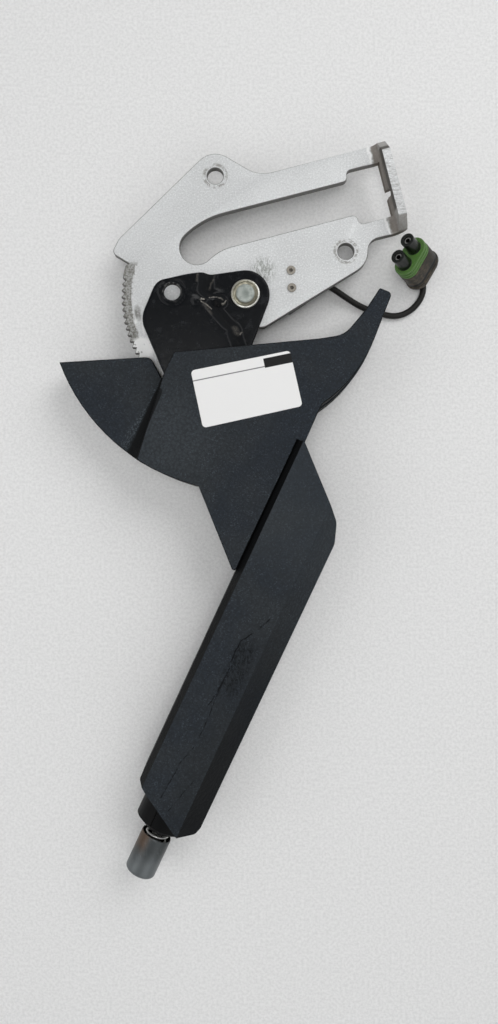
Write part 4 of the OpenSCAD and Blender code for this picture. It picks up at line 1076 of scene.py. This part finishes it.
class BRAKE_OT_covers(bpy.types.Operator):
    """Dresses the two covers and their screws"""
    bl_idname = "brake.covers"
    bl_label = "Covers"

    def execute(self, context):
        look = context.scene.brake_lever
        grain = grained_finish("cover_grain", look.cover_colour)
        dress("front_cover", grain, look.cover_edge / MM, looks=(1,), least=45)
        dress("rear_cover", grain, look.cover_edge / MM, looks=(-1,), least=12, deep=6 * MM)
        dress("cover_screws", steel_finish(look), 0.3, 2)
        return {"FINISHED"}


class BRAKE_OT_label(bpy.types.Operator):
    """Lays the blank paper label on the hub"""
    bl_idname = "brake.label"
    bl_label = "Label"

    def execute(self, context):
        look = context.scene.brake_lever
        outline = fillet_path([(x, y, 2.2) for x, y in LABEL_CORNERS])

        def top(x, y):
            """Height of the paper: flat on the hub, with one long edge lifted a little."""
            return LABEL_Z + 0.25 * np.clip((y + 93) / 12, 0, 1) ** 2

        sheet = pressed_sheet(outline, [], top, LABEL_SHEET, 0.04, 2.0)
        piece = add_piece("paper_label", sheet, paper_finish(look), "front_cover", smooth=60, replace=False)
        return {"FINISHED"}


class BRAKE_OT_grip(bpy.types.Operator):
    """Dresses the grip's two halves, the end collar and the handle tube inside"""
    bl_idname = "brake.grip"
    bl_label = "Grip"

    def execute(self, context):
        look = context.scene.brake_lever
        steel = steel_finish(look)
        skin = grained_finish("grip_grain", look.cover_colour, crease=True)

        def clear_of_ends(at, length):
            _, t = turned_axes(*(at[:, :2] / MM - GRIP_AT).T, GRIP_TURN)
            return (t > -118) & (t < 70) & (length > 6 * MM)

        for node, way, deep in (("grip_front", 1, 15 * MM), ("grip_rear", -1, 2 * MM)):
            dress(node, skin, look.grip_edge / MM, looks=(way,), least=12, deep=deep, part=clear_of_ends)
        black = smooth_plastic_finish("collar_moulding", look.collar_colour, 0.45, shine=0.1)
        dress("end_collar", black, 0.5)
        dress("grip_screws", steel, 0.3, 2)
        paint("handle_tube", steel)
        paint("tube_guide", smooth_plastic_finish("guide_nylon", (0.68, 0.66, 0.6), 0.45))
        paint("spring_seat", steel)
        return {"FINISHED"}


class BRAKE_OT_release(bpy.types.Operator):
    """Turns the push button and winds its spring, and finishes the rod, the pawl and its pin"""
    bl_idname = "brake.release"
    bl_label = "Release"

    def execute(self, context):
        look = context.scene.brake_lever
        steel = steel_finish(look)

        def on_axis(x, y, t):
            return grip_point(-x, t, y)

        end, rim, bottom = BUTTON_END, BUTTON_RIM, BUTTON_END + BUTTON_BOTTOM
        shell = np.vstack([[(0, end), (6.0, end)], rounded_corner(2.4, (6.6, end + 2.4), -80, 0, 7),
                           [(9.0, rim - 1.0)], rounded_corner(0.3, (8.7, rim - 0.3), 0, 180),
                           [(8.4, bottom), (0, bottom)]])
        add_piece("button_turned", turned(shell, 72, on_axis), button_finish(look), "button", smooth=45)
        coil = helix(COIL_R, COIL_TURNS, bottom + COIL_CLEAR, SEAT_AT - COIL_CLEAR)
        points, faces = tube(np.stack(coil, -1), COIL_WIRE, 10)
        shape = on_axis(*points.T), faces
        spring = add_piece("button_spring_wound", shape, steel, "button_spring", smooth=80)
        axis = grip_point(0, 1, 0) - grip_point(0, 0, 0)
        seat = tuple(grip_point(0, SEAT_AT, 0) * MM)
        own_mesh(spring)
        for node in ("release_rod", "rod_clip", "pawl", "pawl_pin", "pawl_spring"):
            paint(node, steel)
        return {"FINISHED"}


class BRAKE_OT_stage(bpy.types.Operator):
    """Adds the pale floor and the soft light"""
    bl_idname = "brake.stage"
    bl_label = "Stage"

    def execute(self, context):
        look = context.scene.brake_lever
        s = np.linspace(-1, 1, 5)
        x, y = np.meshgrid(*(s * FLOOR_HALF + middle for middle in FLOOR_MIDDLE))
        points = np.stack([x, y, np.full_like(x, FLOOR_Z - 0.02)], -1).reshape(-1, 3) * MM
        mesh = bpy.data.meshes.new("floor")
        mesh.from_pydata(points.tolist(), [], grid_faces(5, 5).tolist())
        mesh.materials.append(floor_finish(look))
        floor = bpy.data.objects.new("floor", mesh)
        context.scene.collection.objects.link(floor)
        for name, where, size, power in LAMPS:
            data = bpy.data.lights.new(name, "AREA")
            data.size, data.energy = size, power
            lamp = bpy.data.objects.new(name, data)
            lamp.location = where
            way = Vector(LAMP_AIM) - Vector(where)
            lamp.rotation_euler = way.to_track_quat("-Z", "Y").to_euler()
            context.scene.collection.objects.link(lamp)
        world = bpy.data.worlds.new("soft_room")
        world.use_nodes = True
        sky = Nodes(world.node_tree)
        way = sky.node("ShaderNodeTexCoord", out="Generated")
        height = sky.node("ShaderNodeSeparateXYZ", None, [way], "Z")
        stops = [(at, (0.97 * tone, 0.985 * tone, tone, 1.0)) for at, tone in SKY_TONES]
        tone = sky.node("ShaderNodeValToRGB", {"stops": stops}, [height])
        sky.tree.links.new(tone.socket, sky.tree.nodes["Background"].inputs["Color"])
        context.scene.world = world
        context.scene.view_settings.view_transform = "Standard"
        return {"FINISHED"}


class BRAKE_PT_panel(bpy.types.Panel):
    """Lists the lever's settings and the steps that build it"""
    bl_idname = "BRAKE_PT_panel"
    bl_label = "Brake lever"
    bl_space_type = "VIEW_3D"
    bl_region_type = "UI"
    bl_category = "Brake lever"

    def draw(self, context):
        for setting in BrakeLeverSettings.__annotations__:
            self.layout.prop(context.scene.brake_lever, setting)
        for step in STEPS:
            self.layout.operator(step.bl_idname)


STEPS = (BRAKE_OT_camera, BRAKE_OT_lead, BRAKE_OT_plate, BRAKE_OT_arm, BRAKE_OT_covers, BRAKE_OT_label,
         BRAKE_OT_grip, BRAKE_OT_release, BRAKE_OT_stage)


def register():
    for cls in (BrakeLeverSettings, *STEPS, BRAKE_PT_panel):
        bpy.utils.register_class(cls)
    bpy.types.Scene.brake_lever = bpy.props.PointerProperty(type=BrakeLeverSettings)


def unregister():
    del bpy.types.Scene.brake_lever
    for cls in (BRAKE_PT_panel, *reversed(STEPS), BrakeLeverSettings):
        bpy.utils.unregister_class(cls)


def main():
    register()
    for step in STEPS:
        group, name = step.bl_idname.split(".")
        getattr(getattr(bpy.ops, group), name)()


if __name__ == "__main__":
    main()
